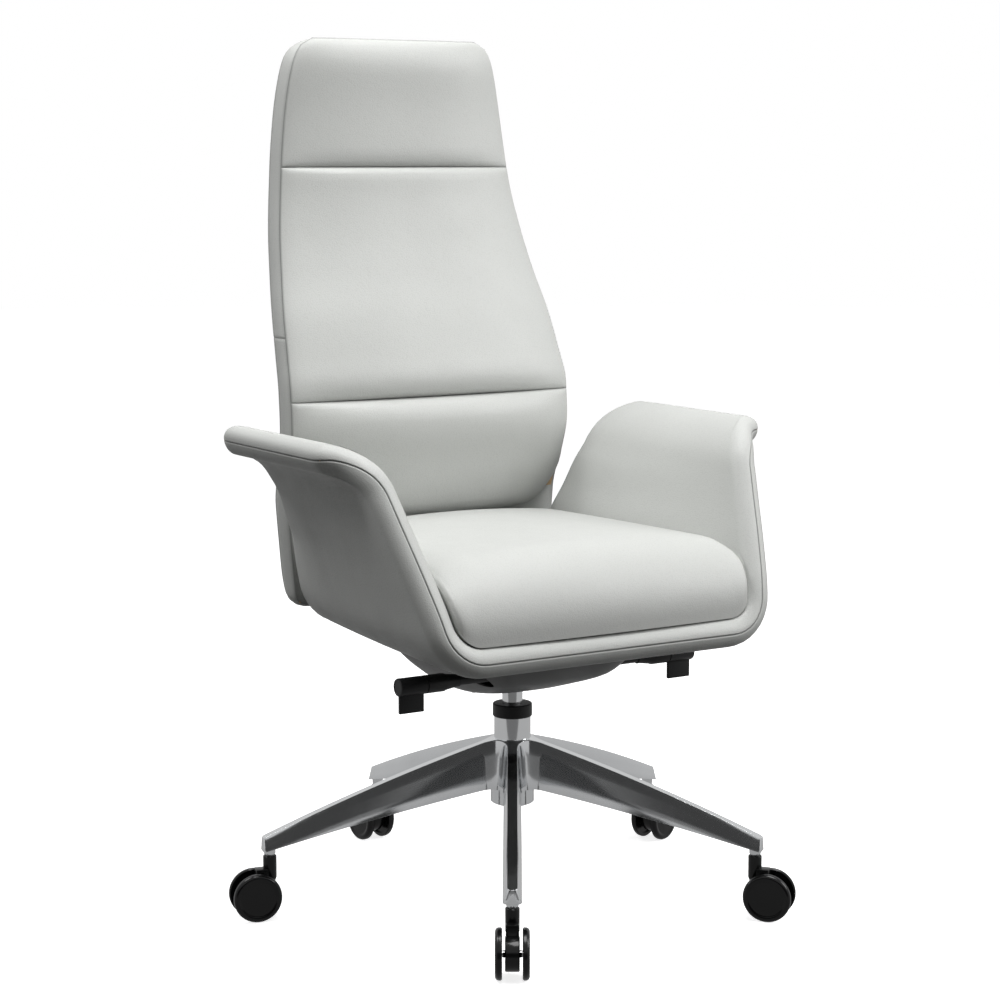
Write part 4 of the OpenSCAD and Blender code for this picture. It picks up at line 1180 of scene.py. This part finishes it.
@dataclass
class Backrest:
    """Tall back: three crowned front pads, a side band and a bulged rear panel."""

    wardrobe: Wardrobe
    shell: SeatShell
    heights: tuple = (0.0, 0.090, 0.140, 0.190, 0.250, 0.300, 0.350, 0.400, 0.460, 0.520, 0.580,
                      0.640, 0.700, 0.750, 0.775, 0.787)
    widths: tuple = (0.208, 0.216, 0.220, 0.223, 0.225, 0.225, 0.221, 0.216, 0.206, 0.197, 0.188,
                     0.181, 0.173, 0.163, 0.152, 0.132)
    seams: tuple = (0.236, 0.236, 0.236, 0.224, 0.210, 0.213, 0.229, 0.248, 0.274, 0.295, 0.309,
                    0.316, 0.3185, 0.3175, 0.317, 0.316)
    depth: float = 0.042
    bulge: float = 0.024
    foot_r: float = 0.055
    dip: float = 0.0032
    closing: float = 0.0004
    join_z: float = 0.760

    def width(self, h: float) -> float:
        """Half width of the back at height h above the shell's floor."""
        return fair(self.heights, self.widths, h)

    def seam_y(self, h: float) -> float:
        """Y of the front seam at height h."""
        return fair(self.heights, self.seams, h)

    def place(self, x: float, h: float, lift: float) -> Vector:
        """Point across at x and up at h, lift behind the front seam."""
        thin = 1.0 if h >= self.foot_r else 1 - 0.62 * (1 - roll(h, self.foot_r))
        return Vector((x, self.seam_y(h) + lift * thin, self.shell.z + h))

    def outline(self) -> Loop:
        """Outline of the back seen from the front."""
        top = self.heights[-1]
        feet, rises, heads, turn = 60, 200, 40, 2
        foot = [(self.width(0) * (2 * k / feet - 1), 0.0) for k in range(feet)]
        rise = [(self.width(top * k / rises), top * k / rises) for k in range(rises)]
        head = [(self.width(top) * (1 - 2 * k / heads), top) for k in range(heads)]
        fall = [(-x, h) for x, h in reversed(rise[1:])]
        points = foot + rise + head + [(-self.width(top), top)] + fall
        corners = [turn, feet - turn, feet + rises - turn, feet + rises + heads + turn + 1]
        return Loop(points, corners, (36, 92), 12)

    def build(self) -> None:
        """Builds the band with the rear panel, and the three pads."""
        # Rows: (inset, lift, painted seam shade); the painted shade darkens the front seam and the
        # second seam of the band.
        rows = [(0.012, -0.0006, 0.0), (0.0036, -0.0006, 0.6), (0.0020, 0.0008, 1.0),
                (0.0005, 0.0024, 0.2), (-0.0008, 0.0070, 0.0), (-0.0016, 0.0140, 0.0),
                (-0.0018, 0.0200, 0.0), (-0.0014, 0.0270, 0.0), (-0.0004, 0.0315, 0.1),
                (0.0012, 0.0332, 1.0), (0.0003, 0.0348, 0.1), (0.0008, 0.0372, 0.0),
                (0.0024, 0.0396, 0.0), (0.0052, 0.0412, 0.0), (0.0095, self.depth, 0.0)]

        def full(u: float, v: float) -> float:
            """Fullness of the rear panel."""
            return self.bulge * (1 - u * u) * math.sqrt(max(0.0, 1 - v**6))

        piece = Piece("back_band_leather")
        wrap(piece, self.outline(), rows, self.place, (flat, full))
        self.join(piece)
        piece.leather(self.wardrobe, ["back_band", "back_rear_panel"], 75, 0.9)
        foot, lumbar = (corner.z - self.shell.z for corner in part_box("lumbar_pad"))
        head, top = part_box("head_pad")[0].z - self.shell.z, self.heights[-1]
        self.pad("lumbar", foot, lumbar, 0.042, (0.050, 0.40), (0.030, 0.42), 0.070)
        self.pad("middle", lumbar, head, 0.030, (0.046, 0.38), (0.012, 0.62), 0.0)
        self.pad("head", head, top, 0.024, (0.026, 0.52), (0.046, 0.0), 0.0)

    def join(self, piece: Piece) -> None:
        """Sews a cross seam in the band on each side, with painted shade along it."""
        bm = piece.bm
        for step in (-0.0013, 0.0, 0.0013):
            bmesh.ops.bisect_plane(bm, geom=everything(bm), dist=SAME_POINT,
                                   plane_co=(0, 0, self.join_z + step), plane_no=(0, 0, 1))
        h = self.join_z - self.shell.z
        for v in bm.verts:
            level = abs(v.co.z - self.join_z) < 1e-5
            if level and abs(v.co.x) > self.width(h) - 0.004 and v.co.y < self.seam_y(h) + self.depth:
                v.co.x -= math.copysign(0.0009, v.co.x)
                # Painted shade along the cross seam.
                v[piece.seam] = 1.0

    def pad(self, name: str, h0: float, h1: float, crown: float, low_end: tuple[float, float],
            high_end: tuple[float, float], narrow: float) -> None:
        """Builds one pad of the front.

        Args:
            name: Name of the pad.
            h0: Height of its lower seam.
            h1: Height of its upper seam.
            crown: Fullness in the middle.
            low_end: Roll radius and share of the crown left at the lower seam.
            high_end: The same at the upper seam.
            narrow: Radius of its lower corners.
        """
        near = (0.0008, 0.0022, 0.005, 0.010)
        h0, h1 = h0 - self.closing, h1 + self.closing
        ups = [h0 + d for d in graded(h1 - h0, 0.010, near)]
        wide = self.width((h0 + h1) / 2)
        across = [x / wide - 1 for x in graded(2 * wide, 0.011, near)]
        edge, thinnest, dip_r, side_r, seam_shade_w = 0.005, 0.0015, 0.005, 0.012, 0.0016

        def spot(i: int, j: int, layer: int) -> tuple[Vector, float]:
            """Point of the pad's back or of its crowned front, with its painted seam shade value."""
            u, h = across[i], ups[j]
            half = self.width(h)
            if narrow and h < h0 + narrow:
                half -= narrow * (1 - roll(h - h0, narrow))
            to_side = half * (1 - abs(u))
            share = 1.0
            for gap, (radius, left) in ((h - h0, low_end), (h1 - h, high_end)):
                share = min(share, left + (1 - left) * roll(gap, radius))
            rim = min(h - h0, h1 - h)
            thick = edge + crown * (1 - abs(u) ** 3.0) * share
            thick -= min(thick - thinnest, self.dip * (1 - roll(rim, dip_r)))
            thick *= 0.1 + 0.9 * roll(to_side, side_r)
            point = Vector((half * u, self.seam_y(h) - thick * layer, self.shell.z + h))
            # The seam value paints shade along the pad's rim, where it rolls into the seams.
            return point, clamp(1 - min(to_side, rim) / seam_shade_w)

        piece = Piece(f"{name}_pad_leather")
        piece.quilt(len(across) - 1, len(ups) - 1, spot)
        piece.leather(self.wardrobe, [f"{name}_pad"], 60, 0.85)


# ---------------------------------------------------------------- studio


@dataclass
class Studio:
    """Pale floor, soft lights and the camera."""

    eye: Vector = Vector((-1.7628, -2.8211, 1.0034))
    tilt_deg: float = 82.214
    heading_deg: float = -32.0
    lens: float = 89.59
    shift_x: float = -0.0124
    fill: tuple[float, float] = (0.05, 0.20)
    gloss: tuple[float, float] = (0.42, 0.80)

    def build(self) -> None:
        """Sets up the scene round the chair."""
        self.camera()
        self.floor()
        self.sky()
        self.lamp("key", Vector((2.5, -1.8, 2.0)), 1.5, 58.0)
        self.lamp("top", Vector((0.1, -0.7, 3.2)), 1.5, 58.0)
        self.lamp("rim", Vector((-1.5, 0.7, 2.9)), 1.2, 36.0)
        self.card("dark_front", Vector((-2.65, -4.24, 0.7)), (12.0, 2.6), 0.05, False)
        self.card("dark_floor", Vector((-1.78, -2.85, 0.004)), (9.0, 5.0), 0.13, True)
        bpy.context.scene.view_settings.view_transform = "Standard"

    def camera(self) -> None:
        """Adds the camera."""
        data = bpy.data.cameras.new("camera")
        data.lens, data.shift_x, data.sensor_width = self.lens, self.shift_x, 36.0
        data.dof.use_dof = False
        obj = shown("camera", data)
        obj.location = self.eye
        obj.rotation_euler = (math.radians(self.tilt_deg), 0.0, math.radians(self.heading_deg))
        bpy.context.scene.camera = obj

    def floor(self) -> None:
        """Adds a wide pale floor."""
        bm = bmesh.new()
        bmesh.ops.create_circle(bm, cap_ends=True, segments=96, radius=14.0)
        g = Graph("floor_paint")
        g.finish(Base_Color=g.blend(g.noise(2.0, 3), grey(0.88), grey(0.91)), Roughness=0.9,
                 Emission_Color=WHITE, Emission_Strength=0.8)
        obj = shaped("floor", bm)
        obj.data.materials.append(g.material)
        obj.visible_diffuse = obj.visible_glossy = False

    def sky(self) -> None:
        """Lights the room evenly; the room itself looks white."""
        world = bpy.data.worlds.new("studio_room")
        bpy.context.scene.world = world
        world.use_nodes = True
        g = Nodes(world.node_tree)
        back = next(n for n in g.tree.nodes if n.type == "BACKGROUND")
        path = g.add("ShaderNodeLightPath")
        where = g.add("ShaderNodeTexCoord").outputs["Generated"]
        height = g.add("ShaderNodeSeparateXYZ", Vector=where).outputs["Z"]

        def pick(choice: str, when: object, other: object) -> object:
            """First value for rays of the chosen kind, second for the rest."""
            node = g.add("ShaderNodeMix")
            for socket, value in ((0, path.outputs[choice]), (2, other), (3, when)):
                g.feed(node, socket, value)
            return node.outputs[0]

        gloss, fill = (g.between(height, *ends, -0.4, 0.5) for ends in (self.gloss, self.fill))
        g.feed(back, "Strength", pick("Is Camera Ray", 1.0, pick("Is Glossy Ray", gloss, fill)))
        g.feed(back, "Color", WHITE)

    def lamp(self, name: str, spot: Vector, size: float, power: float) -> None:
        """Adds a soft square lamp aimed at the seat."""
        data = bpy.data.lights.new(name, "AREA")
        data.shape, data.size, data.energy = "SQUARE", size, power
        obj = shown(name, data)
        obj.location = spot
        aim = Vector((0, 0, 0.6)) - spot
        obj.rotation_euler = aim.to_track_quat("-Z", "Y").to_euler()

    def card(self, name: str, spot: Vector, size: tuple[float, float], tone: float,
             lying: bool) -> None:
        """Adds a dark card that only metal and gloss see.

        Args:
            name: Name of the card.
            spot: Its middle.
            size: Its width and its height, or its depth when it lies flat.
            tone: How bright it looks.
            lying: Whether it lies on the floor.
        """
        turn = Matrix.Rotation(math.atan2(spot.x, -spot.y), 4, "Z")
        stand = Matrix() if lying else Matrix.Rotation(math.pi / 2, 4, "X")
        place = Matrix.Translation(spot) @ turn @ stand @ Matrix.Diagonal((*size, 1.0, 1.0))
        bm = bmesh.new()
        bmesh.ops.create_grid(bm, x_segments=1, y_segments=1, size=0.5, matrix=place)
        g = Graph(f"{name}_cloth")
        g.finish(Base_Color=grey(0.01), Roughness=1.0, Emission_Color=WHITE, Emission_Strength=tone)
        obj = shaped(name, bm)
        obj.data.materials.append(g.material)
        obj.visible_camera = obj.visible_diffuse = obj.visible_shadow = False


def main() -> None:
    """Builds the chair's pieces in order and the studio round them."""
    logging.basicConfig(level=logging.INFO, format="%(name)s: %(message)s")
    wardrobe = Wardrobe()
    wardrobe.dress_frame()
    for group in (StarBase, Column, Casters, Levers, TiltSprings, UnderCover):
        group(wardrobe).build()
    shell = SeatShell(wardrobe)
    shell.build()
    SeatCushion(wardrobe, shell).build()
    Backrest(wardrobe, shell).build()
    Studio().build()


if __name__ == "__main__":
    main()
